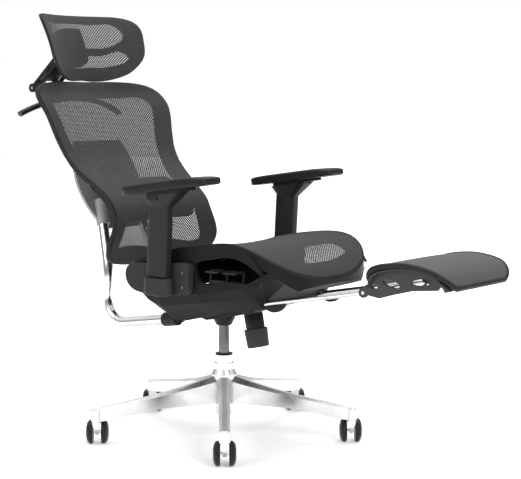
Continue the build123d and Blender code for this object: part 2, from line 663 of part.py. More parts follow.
def make_seat():
    pan = pan_solid() - pan_solid(PAN_WALL, lift=1.0)
    notch = Pos(0, (NOTCH_FRONT + 200) / 2, (280 + NOTCH_TOP) / 2) * Box(
        2 * NOTCH_HALF_W, 200 - NOTCH_FRONT, NOTCH_TOP - 280)
    opening = prism_x(polygon([(200, 250), (200, 420), (-149, 420), (-149, 250)]), -HOUSING_HALF_W - GAP,
                      HOUSING_HALF_W + GAP)
    below = prism_x(polygon([(200, 250), (200, NOTCH_TOP), (-149, NOTCH_TOP), (-149, 250)]), -SEAT_HALF_W, SEAT_HALF_W)
    pan = pan - notch - (opening & below)
    for side in (1, -1):
        pan = pan - rod_between(rail_axis(-60, side), rail_axis(90, side), RAIL_R + 2)
    ring = seat_slab(0, SEAT_MESH_T) & (seat_prism(0) - seat_prism(SEAT_MESH_INSET))
    ring = ring + (seat_slab(SEAT_MESH_T, SEAT_RING_H) & (seat_prism(0) - seat_prism(SEAT_RING_W)))
    keep("seat_pan", pan - ring)
    lower = [(y, z - SEAT_RING_H / 2) for y, z in SEAT_EDGE[1:8]]
    cheek_face = polygon(CHEEK_REAR + lower + CHEEK_FRONT)
    cheek_face = cheek_face - smooth_loop(WINDOW)
    cheek = prism_x(cheek_face, SEAT_HALF_W - CHEEK_T, SEAT_HALF_W)
    frame = ring + cheek + mirror_x(cheek) - pan_solid()
    keep("seat_frame", frame)

    keep("seat_mesh", seat_slab(0, SEAT_MESH_T) & seat_prism(SEAT_MESH_INSET))


# ----------------------------------------------------------------------------- footrest
def rail_box(side, low, high, width, height, drop=0.0):
    """Block along a rail."""
    start = rail_axis(low, side)
    slope = radians(RAIL_SLOPE)
    plane = Plane(origin=(start[0], start[1], start[2] - drop), x_dir=(1, 0, 0), z_dir=(0, -cos(slope), sin(slope)))
    return extrude(plane * Rectangle(width, height), high - low)


def make_footrest():
    pan = pan_solid()
    guides = []
    for side in (1, -1):
        block = rail_box(side, -GUIDE_LENGTH - 6, -6, GUIDE_W, GUIDE_H) - rod_between(
            rail_axis(-200, side), rail_axis(200, side), RAIL_R + RUN)
        inside = pan_solid(PAN_WALL, lift=60)
        block = block & inside
        reach = SADDLE_LENGTH
        middle = rail_axis(reach / 2 + 6, side)
        slope = radians(RAIL_SLOPE)
        plane = Plane(origin=(middle[0] - SADDLE_W / 2, middle[1], middle[2] - (RAIL_R + RUN) / cos(slope)),
                      x_dir=(0, -cos(slope), sin(slope)), z_dir=(1, 0, 0))
        arc = make_face(Wire([ThreePointArc((-reach / 2, 0), (0, SADDLE_DEPTH), (reach / 2, 0)),
                              Line((reach / 2, 0), (-reach / 2, 0))]))
        saddle = extrude(plane * arc, SADDLE_W)
        guides += [block, saddle - pan]
    keep("rail_guides", Compound(guides))

    rails = []
    for side in (1, -1):
        tube = rod_between(rail_axis(RAIL_REAR_RUN, side), rail_axis(RAIL_FRONT_RUN, side), RAIL_R)
        bore = rod_between(rail_axis(RAIL_REAR_RUN + 2, side), rail_axis(RAIL_FRONT_RUN - 2, side), RAIL_R - RAIL_WALL)
        tube = tube - bore
        tip = rail_axis(RAIL_FRONT_RUN, side)
        eye = across(tip[1], tip[2], RAIL_R + 2.5, tip[0] - 5, tip[0] + 5) - across(
            tip[1], tip[2], PIVOT_R + RUN, tip[0] - 6, tip[0] + 6)
        rails.append(tube - across(tip[1], tip[2], PIVOT_R + RUN, tip[0] - 9, tip[0] + 9) + eye)
    keep("footrest_rails", Compound(rails))
    tip = rail_axis(RAIL_FRONT_RUN)
    half = FOOT_WEB_X + FOOT_WEB_T + 6
    keep("footrest_pivot", across(tip[1], tip[2], PIVOT_R, -half, half))

    outline = Pos(0, (FOOT_TOP[0][0] + FOOT_TOP[-1][0]) / 2) * RectangleRounded(
        2 * FOOT_HALF_W, abs(FOOT_TOP[-1][0] - FOOT_TOP[0][0]) + 2, FOOT_CORNER_R)
    pad_slab = prism_x(band_face(Plane.XY, FOOT_TOP, 0, FOOT_PAD_T), -FOOT_HALF_W, FOOT_HALF_W)
    trim = Pos(0, 0, 380) * extrude(outline, 160)
    pad = pad_slab & trim
    keep("footrest_pad", pad)

    low = FOOT_PAD_T
    shell_band = prism_x(band_face(Plane.XY, FOOT_TOP, low, low + FOOT_SHELL_T), -FOOT_HALF_W + 6, FOOT_HALF_W - 6)
    shell = shell_band & trim
    under = offset_points(FOOT_TOP, low + FOOT_SHELL_T / 2)[1:-1]
    web_face = polygon(under + list(reversed(FOOT_WEB_FOOT)))
    for y, z, a, b, tilt in FOOT_HOLES:
        web_face = web_face - Pos(y, z) * Rot(0, 0, tilt) * Ellipse(a, b)
    web_face = web_face + Pos(tip[1], tip[2]) * Circle(RAIL_R + 5)
    web_face = web_face - Pos(tip[1], tip[2]) * Circle(PIVOT_R + RUN)
    webs = [prism_x(web_face, x - FOOT_WEB_T / 2, x + FOOT_WEB_T / 2)
            for x in (-FOOT_WEB_X - 9, FOOT_WEB_X + 9)]
    tray_foot = FOOT_WEB_FOOT[3:5]
    tray_top = [(y, z + FOOT_TRAY_T) for y, z in reversed(tray_foot)]
    tray = prism_x(polygon(tray_foot + tray_top), -FOOT_WEB_X - 9, FOOT_WEB_X + 9)
    for web in webs:
        shell = shell + web
    keep("footrest_shell", shell + tray - pad_slab)


# ----------------------------------------------------------------------------- back bar and yoke
def bar_path(side):
    points = [(side * x, y, z) for x, y, z in BAR_ROUTE]
    return FilletPolyline(*points, radius=BAR_BENDS)


def bar_leg(side, radius):
    path = bar_path(side)
    return sweep(Plane(origin=path @ 0, z_dir=path % 0) * Circle(radius), path)


def leg_point(run):
    """Point on the straight lower run of the bar, run millimetres behind its front end."""
    a = Vector(*BAR_ROUTE[0])
    b = Vector(*BAR_ROUTE[1])
    return a + (b - a).normalized() * run


def make_bar():
    legs = []
    for side in (1, -1):
        legs.append(bar_leg(side, BAR_R))
    keep("back_bar", Compound(legs))

    sockets = []
    start = leg_point(-4)
    end = leg_point(SOCKET_LENGTH)
    socket = rod_between(tuple(start), tuple(end), SOCKET_R) - rod_between(tuple(leg_point(0)), tuple(leg_point(80)), BAR_R)
    cross_at = leg_point(SOCKET_LENGTH / 2)
    lug_in = HOUSING_HALF_W + GAP
    lug_face = hull2((TILT_Y, TILT_Z), (cross_at.Y, cross_at.Z), YOKE_LUG_R, YOKE_CROSS_R + 4)
    lug_face = lug_face - Pos(TILT_Y, TILT_Z) * Circle(TILT_SHAFT_R + RUN)
    lug = prism_x(lug_face, lug_in, lug_in + YOKE_LUG_T)
    cross = across(cross_at.Y, cross_at.Z, YOKE_CROSS_R, -BAR_X, BAR_X)
    for part in (socket, lug):
        sockets += [part, mirror_x(part)]
    yoke = cross
    for part in sockets:
        yoke = yoke + part
    for side in (1, -1):
        yoke = yoke - rod_between((side * BAR_X, leg_point(0).Y, leg_point(0).Z),
                                  (side * BAR_X, leg_point(80).Y, leg_point(80).Z), BAR_R)
    keep("back_yoke", yoke)


# ----------------------------------------------------------------------------- spine and back
SPINE_DIR = (0, sin(radians(SPINE_LEAN)), cos(radians(SPINE_LEAN)))
# local x is X, local y is up the spine, local z points to the front
SPINE_PLANE = Plane(origin=(0, SPINE_FOOT_Y, SPINE_FOOT_Z), x_dir=(1, 0, 0),
                    z_dir=(0, -cos(radians(SPINE_LEAN)), sin(radians(SPINE_LEAN))))


def spine_box(half_w, low, high, back, front):
    """Block on the spine: between two heights along it and two depths in front of its face."""
    face = Pos(0, (low + high) / 2) * Rectangle(2 * half_w, high - low)
    return extrude(SPINE_PLANE.offset(back) * face, front - back)


def back_prism(inset=0.0, foot_band=0.0):
    """Prism of the back's front outline."""
    outer = mirrored_outline(BACK_OUT_X, BACK_OUT_Z, BACK_TOP, BACK_TOP_X, BACK_FOOT, BACK_FOOT_X,
                             inset, foot_band)
    return prism_y(outer, 100, 620)


def back_slab(low, high):
    return bowed_slab(BACK_EDGE, low, high, BACK_SAG_W + 2, BACK_SAG, BACK_SAG_W)


def behind_back(depth):
    """Everything more than depth behind the back's middle surface."""
    return behind_surface(BACK_EDGE, -depth - RUN, BACK_SAG_W + 2, BACK_SAG, BACK_SAG_W)


def make_back():
    right = [(x, z) for x, z in SPINE_OUTLINE]
    left = [(-x, z) for x, z in reversed(SPINE_OUTLINE)]
    shield_face = make_face(Wire([Spline(*right), Line(right[-1], left[0]), Spline(*left), Line(left[-1], right[0])]))
    shield = extrude(SPINE_PLANE.offset(-SPINE_T) * shield_face, SPINE_T)
    rail = spine_box(SPINE_RAIL_W / 2, SPINE_RAIL_START, SPINE_RAIL_END, -1, SPINE_RAIL_NECK)
    head = spine_box(SPINE_HEAD_W / 2, SPINE_RAIL_START, SPINE_RAIL_END, SPINE_RAIL_NECK,
                     SPINE_RAIL_NECK + SPINE_HEAD_T)
    spine = shield + rail + head
    for side in (1, -1):
        a = Vector(side * BAR_ROUTE[2][0], BAR_ROUTE[2][1], BAR_ROUTE[2][2])
        b = Vector(side * BAR_ROUTE[3][0], BAR_ROUTE[3][1], BAR_ROUTE[3][2])
        d = (b - a).normalized()
        top = b + d * 6
        low = b - d * 62
        spine = spine + rod_between(tuple(low), tuple(top), SOCKET_R)
    for side in (1, -1):
        a = Vector(side * BAR_ROUTE[2][0], BAR_ROUTE[2][1], BAR_ROUTE[2][2])
        b = Vector(side * BAR_ROUTE[3][0], BAR_ROUTE[3][1], BAR_ROUTE[3][2])
        d = (b - a).normalized()
        spine = spine - rod_between(tuple(b - d * 90), tuple(b), BAR_R)
    keep("spine_plate", spine)

    slab = back_slab(-BACK_RING_T / 2, BACK_RING_T / 2)
    keep("back_frame", (slab & back_prism()) - back_prism(BACK_RING_W, BACK_FOOT_BAND))
    front = BACK_RING_T / 2
    keep("back_mesh", back_slab(front, front + BACK_MESH_T) & back_prism(BACK_MESH_INSET))

    lumbar_face = Pos(0, (LUMBAR_LOW + LUMBAR_HIGH) / 2) * RectangleRounded(
        2 * LUMBAR_HALF_W, LUMBAR_HIGH - LUMBAR_LOW, LUMBAR_ROUND)
    lumbar = back_slab(-BACK_RING_T / 2, BACK_RING_T / 2 - LUMBAR_SET_BACK) & prism_y(lumbar_face, 100, 620)
    keep("lumbar_pad", lumbar)

    bridge_face = Pos(0, (BRIDGE_LOW + BRIDGE_HIGH) / 2) * RectangleRounded(
        2 * 182, BRIDGE_HIGH - BRIDGE_LOW, 12)
    bridge = back_slab(-BACK_RING_T / 2 - BRIDGE_T, -BACK_RING_T / 2) & prism_y(bridge_face, 100, 620)
    low, high = CARRIAGE_START, CARRIAGE_START + CARRIAGE_LENGTH
    carriage = spine_box(CARRIAGE_W / 2, low, high, GAP, CARRIAGE_DEPTH + 6)
    carriage = carriage - spine_box(SPINE_RAIL_W / 2 + GAP, low - 1, high + 1, -2, SPINE_RAIL_NECK + 1)
    carriage = carriage - spine_box(SPINE_HEAD_W / 2 + GAP, low - 1, high + 1, SPINE_RAIL_NECK - GAP,
                                    SPINE_RAIL_NECK + SPINE_HEAD_T + GAP)
    web_zone = prism_x(polygon([(150, BRIDGE_LOW + 6), (150, BRIDGE_HIGH - 4), (420, BRIDGE_HIGH + 26),
                                (420, BRIDGE_LOW + 36)]), WEB_X - WEB_T / 2, WEB_X + WEB_T / 2)
    front_limit = behind_back(BACK_RING_T / 2 + BRIDGE_T - 1)
    behind = spine_box(120, -80, 330, CARRIAGE_DEPTH, 200)
    web = web_zone & front_limit & behind
    keep("back_carriage", bridge + carriage + web + mirror_x(web))


# ----------------------------------------------------------------------------- coat hanger
def make_hanger():
    tip = HANGER_TIP
    mid = HANGER_MID
    path = ThreePointArc((-tip[0], tip[1], tip[2]), mid, tip)
    bar = sweep(Plane(origin=path @ 0, z_dir=path % 0, x_dir=(0, 0, 1)) * Ellipse(HANGER_H / 2, HANGER_D / 2), path)
    low, high = mid[2] - HANGER_H / 2, HEAD_FOOT[1] - HEAD_BASE_DROP
    boss = Pos(0, mid[1] - HANGER_BOSS_L / 3, (low + high) / 2) * Box(HANGER_BOSS_W, HANGER_BOSS_L, high - low)
    boss = fillet(boss.edges().filter_by(Axis.Z), HANGER_H / 3)
    keep("coat_hanger", bar + boss)


# ----------------------------------------------------------------------------- headrest
def head_prism(inset=0.0):
    face = mirrored_outline(HEAD_OUT_X, HEAD_OUT_Z, HEAD_TOP, HEAD_TOP_X, HEAD_FOOT_Z, HEAD_FOOT_X, inset)
    return prism_y(face, 380, 640)


def head_slab(low, high):
    return bowed_slab(HEAD_EDGE, low, high, HEAD_SAG_W + 2, HEAD_SAG, HEAD_SAG_W)


def make_headrest():
    w = HEAD_ARM_HALF_W
    t = HEAD_CHEEK_T
    foot, elbow, hub = HEAD_FOOT, HEAD_ELBOW, HEAD_HUB
    pin_hole = Circle(HEAD_PIN_R + RUN / 5)
    arm_face = hull2(foot, elbow, 9, HEAD_KNUCKLE_R) - Pos(*elbow) * pin_hole
    slot = hull2((foot[0] + 40, foot[1] - 2), (elbow[0] - 40, elbow[1] + 2), 3.5, 3.5)
    arm = prism_x(arm_face - slot, w - t, w)
    arm = arm + mirror_x(arm)
    floor = Pos(0, (foot[0] + elbow[0]) / 2 - 12, foot[1] - 5) * Box(2 * w, 100, 5)
    base = Pos(0, foot[0] + 2, foot[1] - HEAD_BASE_DROP + HEAD_BASE_H / 2) * Box(2 * w, HEAD_BASE_L, HEAD_BASE_H)
    base = base & behind_back(BACK_RING_T / 2)
    keep("headrest_arm", arm + floor + base)

    inner = w - t - GAP
    link_face = hull2(elbow, hub, HEAD_KNUCKLE_R, HEAD_KNUCKLE_R)
    slot2 = hull2((elbow[0] - 22, elbow[1] + 19), (hub[0] + 22, hub[1] - 19), 3.5, 3.5)
    link_face = link_face - Pos(*elbow) * Circle(HEAD_PIN_R + RUN) - Pos(*hub) * pin_hole - slot2
    cheek = prism_x(link_face, inner - HEAD_LINK_T, inner)
    web = hull2((elbow[0] - 16, elbow[1] + 22), (hub[0] + 26, hub[1] - 14), 3, 3)
    plate = prism_x(web, -inner + 1, inner - 1)
    keep("headrest_link", cheek + mirror_x(cheek) + plate)
    pins = [across(*elbow, HEAD_PIN_R, -w, w), across(*hub, HEAD_PIN_R, -inner, inner)]
    keep("headrest_pins", Compound(pins))

    windows = [mirrored_loop(w) for w in (HEAD_WINDOW_HIGH, HEAD_WINDOW_LOW)]
    ring = head_slab(-HEAD_RING_T / 2, HEAD_RING_T / 2) & head_prism()
    for window in windows:
        ring = ring - prism_y(window, 380, 640)
    lug_half = inner - HEAD_LINK_T - GAP
    lug_face = smooth_loop(HEAD_HUB_SIDE) - Pos(*hub) * Circle(HEAD_PIN_R + RUN)
    lug = prism_x(lug_face, -lug_half, lug_half) & behind_surface(
        HEAD_EDGE, -HEAD_RING_T / 2 + 1, HEAD_SAG_W + 2, HEAD_SAG, HEAD_SAG_W)
    keep("headrest_frame", ring + lug)
    front = HEAD_RING_T / 2
    keep("headrest_mesh", head_slab(front, front + HEAD_MESH_T) & head_prism(HEAD_MESH_INSET))


# ----------------------------------------------------------------------------- armrests
POST_PLANE = Plane(origin=(ARM_X, POST_FOOT_Y, POST_FOOT_Z), x_dir=(0, 1, 0),
                   z_dir=(0, -sin(radians(POST_LEAN)), cos(radians(POST_LEAN))))
PAD_PLANE = Plane(origin=(ARM_X, PAD_Y, PAD_Z), x_dir=(0, cos(radians(PAD_TILT)), -sin(radians(PAD_TILT))),
                  z_dir=(0, sin(radians(PAD_TILT)), cos(radians(PAD_TILT))))


def stadium(long, wide):
    return SlotOverall(long, wide)


def arm_parts():
    """The pieces of the sitter's left arm; the right one is their mirror."""
    plate = prism_x(smooth_loop(BRACKET_OUTLINE), SEAT_HALF_W, SEAT_HALF_W + BRACKET_T)
    cup = Pos(ARM_X, POST_FOOT_Y + 1, SOCKET_FOOT_Z) * extrude(
        Rot(0, 0, 90) * stadium(SOCKET_LONG, SOCKET_WIDE), POST_FOOT_Z - 4 - SOCKET_FOOT_Z)
    cup = fillet(cup.edges().group_by(Axis.Z)[0], 8)
    inner_post = extrude(POST_PLANE.offset(-20) * stadium(POST_INNER_LONG, POST_INNER_WIDE), POST_BORE)
    bracket = plate + cup + inner_post

    outer = extrude(POST_PLANE * stadium(POST_LONG, POST_WIDE), POST_NECK)
    flare = loft([POST_PLANE.offset(POST_NECK) * stadium(POST_LONG, POST_WIDE),
                  PAD_PLANE.offset(-CARRIER_T - 2 * GAP) * (Pos(-26, 0) * stadium(FLARE_LONG, FLARE_WIDE))])
    post = outer + flare
    post = post - extrude(POST_PLANE.offset(-1) * stadium(POST_INNER_LONG + 2 * GAP, POST_INNER_WIDE + 2 * GAP), POST_BORE + 6)
    button_face = Pos(BUTTON_Y, BUTTON_Z) * stadium(BUTTON_LONG, BUTTON_TALL)
    pocket_face = Pos(BUTTON_Y, BUTTON_Z) * stadium(BUTTON_LONG + 2 * GAP, BUTTON_TALL + 2 * GAP)
    out_x = ARM_X + FLARE_WIDE / 2
    pocket = prism_x(pocket_face, out_x - BUTTON_DEPTH - 4, out_x + 20)
    button = prism_x(button_face, out_x - BUTTON_DEPTH, out_x)
    spindle_low = -CARRIER_T - 2 * GAP - TURN_DEPTH
    post = post - pocket - extrude(PAD_PLANE.offset(spindle_low - GAP) * (Pos(-26, 0) * Circle(TURN_R + RUN)), 30)

    carrier = extrude(PAD_PLANE.offset(-CARRIER_T - GAP) * stadium(CARRIER_LONG, CARRIER_WIDE), CARRIER_T)
    carrier = carrier + extrude(PAD_PLANE.offset(spindle_low) * (Pos(-26, 0) * Circle(TURN_R)), 8)
    tongue_half = CARRIER_WIDE / 2 - 12
    carrier = carrier + extrude(PAD_PLANE.offset(-1) * Rectangle(CARRIER_LONG - 40, 2 * tongue_half), 6)

    pad_face = RectangleRounded(PAD_LENGTH, PAD_WIDTH, PAD_ROUND)
    pad = extrude(PAD_PLANE * pad_face, PAD_T)
    pad = fillet(top_edges(pad, PAD_PLANE, PAD_T), PAD_EDGE_R)
    pad = pad - extrude(PAD_PLANE.offset(-1) * Rectangle(CARRIER_LONG + 20, 2 * tongue_half + 2 * GAP), 6 + GAP)
    return {"bracket": bracket, "post": post, "button": button, "carrier": carrier, "pad": pad}


def top_edges(solid, plane, height):
    """Edges of a solid that lie on the plane moved up by height."""
    moved = plane.offset(height)
    result = []
    for edge in solid.edges():
        point = moved.to_local_coords(edge @ 0.5)
        start = moved.to_local_coords(edge @ 0)
        if abs(point.Z) < 0.01 and abs(start.Z) < 0.01:
            result.append(edge)
    return result


def make_arms():
    for name, piece in arm_parts().items():
        keep(f"arm_{name}_left", piece)
        keep(f"arm_{name}_right", mirror_x(piece))


# ----------------------------------------------------------------------------- controls
def make_controls():
    x = -PADDLE_X
    cables = []
    for name, y in zip(("height_paddle", "tilt_paddle"), PADDLE_YS):
        hub = rod_between((x, y - PADDLE_LONG / 2, PADDLE_Z), (x, y + PADDLE_LONG / 2, PADDLE_Z), PADDLE_HUB_R)
        blade = Pos(x - PADDLE_REACH / 2, y, PADDLE_Z) * Box(PADDLE_REACH, PADDLE_LONG, PADDLE_T)
        hole = rod_between((x, y - PADDLE_LONG, PADDLE_Z), (x, y + PADDLE_LONG, PADDLE_Z), PADDLE_PIN_R + RUN)
        keep(name, hub + blade - hole)
    pin_low = min(PADDLE_YS) - PADDLE_LONG / 2 - 6
    pin_high = max(PADDLE_YS) + PADDLE_LONG / 2 + 6
    pin = rod_between((x, pin_low, PADDLE_Z), (x, pin_high, PADDLE_Z), PADDLE_PIN_R)
    plate_x = -SEAT_HALF_W + CHEEK_T
    ear_ys = [pin_low + EAR_T / 2, (PADDLE_YS[0] + PADDLE_YS[1]) / 2, pin_high - EAR_T / 2]
    bracket = Pos(plate_x + EAR_T / 2, (pin_low + pin_high) / 2, PADDLE_Z - EAR_DROP - 4) * Box(
        EAR_T, pin_high - pin_low, 16)
    for y in ear_ys:
        ear = hull2((x, PADDLE_Z), (x, PADDLE_Z - EAR_DROP), PADDLE_HUB_R, PADDLE_HUB_R + 2)
        foot = Pos((x + plate_x) / 2, PADDLE_Z - EAR_DROP) * Rectangle(x - plate_x + 2, 8)
        bracket = bracket + extrude(Plane(origin=(0, y + EAR_T / 2, 0), x_dir=(1, 0, 0), z_dir=(0, -1, 0))
                                    * (ear + foot), EAR_T)
    bracket = bracket + pin - PARTS["seat_pan"] - PARTS["seat_frame"]
    keep("paddle_bracket", bracket.solids().sort_by(SortBy.VOLUME)[-1])
    for y, end_y in zip(PADDLE_YS, (-128.0, -112.0)):
        start = (x + PADDLE_HUB_R + 1, y, PADDLE_Z - 2)
        knee = (x + 40, y + 6, PADDLE_Z - 18)
        end = (-HOUSING_HALF_W, end_y, HOUSING_TOP - 22)
        route = FilletPolyline(start, knee, (end[0] - 26, end[1], end[2]), end, radius=CABLE_BENDS)
        cables.append(sweep(Plane(origin=route @ 0, z_dir=route % 0) * Circle(CABLE_R), route))
    keep("control_cables", Compound(cables))


# ----------------------------------------------------------------------------- build
def main():
    make_base()
    make_column()
    make_mechanism()
    make_seat()
    make_footrest()
    make_bar()
    make_back()
    make_hanger()
    make_headrest()
    make_arms()
    make_controls()
    os.makedirs("parts", exist_ok=True)
    for name, shape in PARTS.items():
        export_step(shape, f"parts/{name}.step")


main()
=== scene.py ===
"""Looks of a reclining office chair: its cloths, trims, fasteners and finishes round the fixed frame.

Sizes are in metres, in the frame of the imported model: +Z up, the sitter faces -Y.
"""
import json
import math

import bpy
import numpy as np
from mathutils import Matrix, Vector


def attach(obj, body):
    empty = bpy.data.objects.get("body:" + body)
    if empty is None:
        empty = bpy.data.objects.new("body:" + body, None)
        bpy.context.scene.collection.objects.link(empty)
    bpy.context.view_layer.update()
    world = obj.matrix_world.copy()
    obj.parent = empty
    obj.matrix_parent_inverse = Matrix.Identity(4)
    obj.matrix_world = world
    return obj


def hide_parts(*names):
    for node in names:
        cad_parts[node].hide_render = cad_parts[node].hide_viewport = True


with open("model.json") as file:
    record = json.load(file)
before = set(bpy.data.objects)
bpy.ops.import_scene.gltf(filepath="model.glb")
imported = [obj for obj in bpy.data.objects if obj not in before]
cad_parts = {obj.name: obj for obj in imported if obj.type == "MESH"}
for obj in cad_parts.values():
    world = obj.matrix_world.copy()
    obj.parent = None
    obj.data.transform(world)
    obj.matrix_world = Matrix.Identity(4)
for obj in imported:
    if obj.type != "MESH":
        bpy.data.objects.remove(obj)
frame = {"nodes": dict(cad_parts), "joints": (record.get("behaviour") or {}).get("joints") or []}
NODES = frame["nodes"]
JOINTS = {joint["name"]: joint for joint in frame["joints"]}
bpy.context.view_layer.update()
MM = 0.001

# camera: a long lens at the sitter's right, a little above the seat
CAMERA_TURN = math.radians(-50.15)
CAMERA_DISTANCE = 3.655
CAMERA_HEIGHT = 0.876
CAMERA_YAW = math.radians(1.47)
CAMERA_PITCH = math.radians(5.77)
CAMERA_LENS = 99.49

# cloth
WEAVE_PITCH = 7.4 * MM
CLOTH_T = 0.6 * MM
PIPING_R = 2.6 * MM
PIPING_OUT = 1.0 * MM
PIPING_SINK = 1.5 * MM
SPOKES = 224
RINGS = 44
OUTLINE_WAVES = 26
PROFILE_DEGREE = 13
FACE_FACING = 0.35
WALL_FACING = 0.25

# footrest cushion, and the rolled rim round it
FOOT_ROWS = 72
FOOT_COLS = 48
FOOT_CELLS = 60
FOOT_DEGREE = 10
FOOT_CORNER = 45 * MM
FOOT_CROWN = 3.0 * MM
FOOT_SKIN = 1.5 * MM
FOOT_DEPTH = 11 * MM
FOOT_RIM_R = 6.5 * MM
FOOT_RIM_DROP = 5.0 * MM
FOOT_RIM_POINTS = 160

# floor: its own light near the chair, and the distances from the column between which it turns white
FLOOR_LIFT = 0.30
FLOOR_NEAR = 0.7
FLOOR_FAR = 2.2
FLOOR_REACH = 12.0

# studio: its soft light, and its walls, with the sines of the heights where they turn into the lit ceiling
SOFT_LEVEL = 0.55
WALL_LEVEL = 0.25
WALL_LOW = 0.05
WALL_HIGH = 0.6

# lamps: name, place, target, size and power
LAMPS = [("front_softbox", (-1.2, -3.6, 2.6), (0, 0, 0.6), 2.2, 95),
         ("side_softbox", (-3.4, 0.6, 2.2), (0, 0, 0.6), 2.0, 40),
         ("top_softbox", (0.6, 0.3, 3.4), (0, 0, 0.5), 2.6, 70)]

# arm sleeves, along the post and across it
SLEEVE_FOOT = np.array([250.0, -3.0, 438.0]) * MM
SLEEVE_HALF = (31 * MM, 16 * MM)
SLEEVE_POWER = 4.0
SLEEVE_NECK = 168 * MM
SLEEVE_TOP_DROP = 7.9 * MM
SLEEVE_BORE = 155 * MM
SLEEVE_EDGE = 1.2 * MM
BORE_HALF = (23.3 * MM, 9.8 * MM)
FLARE_CENTRE = np.array([250.0, -30.0, 640.0]) * MM
FLARE_HALF = (60 * MM, 27 * MM)
FLARE_POWER = 5.0
FLARE_BLEND = 0.06
FLARE_SHARES = [0, 0.03, 0.08, 0.16, 0.3, 0.45, 0.6, 0.75, 0.9, 0.98, 1.0]

# arm pads
PAD_EDGE_POWER = 5.0
PAD_SIDE_SHARE = 0.55
PAD_CORNER_POWER = 5.5
PAD_SHORTER = 20 * MM
PAD_TAPER = 0.08
PAD_NOSE_START = 62 * MM
PAD_NOSE_RUN = 74 * MM
PAD_NOSE_DROP = 5 * MM
PAD_FOOT_H = 5 * MM
PAD_RISE = 0.5 * MM
PAD_SIDES = 160
PAD_RINGS = 20

# bracket screws: places on the outer face, as y and z
SCREW_X = 233
SCREW_PLACES = [(-62, 448), (-62, 413)]
SCREW_R = 5 * MM

# cables, knob and column
CABLE_R = 2 * MM
HEIGHT_CABLE_Y = (-205, -128)
TILT_CABLE_Y = (-150, -112)
KNOB_LEAN = 11.7
KNOB_TOP = np.array([0, -97.0, 322.0]) * MM
TUBE_TOP = 214 * MM


# ----------------------------------------------------------------------------- meshes from numbers
def quads(rows, cols, wrap_rows=False, wrap_cols=False):
    """Corner numbers of the cells of a grid whose points are numbered row by row."""
    i = np.arange(rows if wrap_rows else rows - 1)[:, None]
    j = np.arange(cols if wrap_cols else cols - 1)[None, :]
    below, right = (i + 1) % rows, (j + 1) % cols
    return np.stack([i * cols + j, i * cols + right, below * cols + right, below * cols + j],
                    axis=-1).reshape(-1, 4)


def fan(centre, ring, flip=False):
    """Triangles from one point to a closed ring of points."""
    after = np.roll(ring, -1)
    middle = np.full(len(ring), centre)
    return np.stack([middle, after, ring] if flip else [middle, ring, after], axis=-1)


def make_piece(name, points, faces, material, body, uv=None, sharp=None):
    """A finished mesh piece that rides on a body. faces is a list of index arrays."""
    mesh = bpy.data.meshes.new(name)
    mesh.from_pydata(np.asarray(points, float).reshape(-1, 3).tolist(), [],
                     [face for block in faces for face in block.tolist()])
    mesh.polygons.foreach_set("use_smooth", np.ones(len(mesh.polygons), bool))
    if uv is not None:
        corners = np.empty(len(mesh.loops), np.int32)
        mesh.loops.foreach_get("vertex_index", corners)
        mesh.uv_layers.new(name="weave").data.foreach_set("uv", uv[corners].astype(np.float32).ravel())
    if sharp is not None:
        mesh.set_sharp_from_angle(angle=math.radians(sharp))
    mesh.update()
    piece = bpy.data.objects.new(name, mesh)
    bpy.context.scene.collection.objects.link(piece)
    mesh.materials.append(material)
    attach(piece, body)
    return piece


def node_points(node):
    """The points of a node's mesh as rows."""
    mesh = NODES[node].data
    flat = np.empty(len(mesh.vertices) * 3, np.float32)
    mesh.vertices.foreach_get("co", flat)
    return flat.reshape(-1, 3).astype(float)


def unit(vectors):
    """The same directions with length 1."""
    return vectors / np.linalg.norm(vectors, axis=-1, keepdims=True)


def ring_bar(path, radius, side_hint, sides):
    """Points and faces of a closed round bar: a circle carried along a closed path.

    Point (i, k) is path_i + radius (cos a_k one_i + sin a_k two_i). one and two stand square to the path, and
    one lies nearest side_hint."""
    along = unit(np.roll(path, -1, 0) - np.roll(path, 1, 0))
    one = unit(side_hint - (side_hint * along).sum(-1, keepdims=True) * along)
    two = np.cross(along, one)
    angle = np.linspace(0, 2 * np.pi, sides, endpoint=False)
    circle = np.cos(angle)[None, :, None] * one[:, None] + np.sin(angle)[None, :, None] * two[:, None]
    points = (path[:, None] + radius * circle).reshape(-1, 3)
    return points, [quads(len(path), sides, wrap_rows=True, wrap_cols=True)]


def turned_arrays(profile, centre, axis, segments=32, hex_rows=0, hex_r=0.0):
    """Points and faces of a turned piece: profile rows (radius, height) swept round an axis at centre.

    The last hex_rows rows follow a hexagon of corner radius hex_r and not a circle, as a key socket does.
    The first and last rows are closed by fans."""
    axis = unit(np.asarray(axis, float))
    hint = np.array([0, 0, 1.0]) if abs(axis[2]) < 0.9 else np.array([1.0, 0, 0])
    one = unit(hint - (hint @ axis) * axis)
    two = np.cross(axis, one)
    rows = np.asarray(profile, float)
    angle = np.linspace(0, 2 * np.pi, segments, endpoint=False)
    radius = np.repeat(rows[:, :1], segments, axis=1)
    if hex_rows:
        flat = math.cos(math.pi / 6) / np.cos((angle + math.pi / 6) % (math.pi / 3) - math.pi / 6)
        radius[-hex_rows:] = hex_r * flat
    ring = radius[..., None] * (np.cos(angle)[None, :, None] * one + np.sin(angle)[None, :, None] * two)
    points = np.asarray(centre, float) + ring + rows[:, 1][:, None, None] * axis
    points = points.reshape(-1, 3)
    count = len(points)
    ends = np.asarray(centre, float) + np.array([rows[0, 1], rows[-1, 1]])[:, None] * axis
    faces = [quads(len(rows), segments, wrap_cols=True)[:, ::-1],
             fan(count, np.arange(segments), flip=True), fan(count + 1, np.arange(count - segments, count))]
    return np.vstack([points, ends]), faces


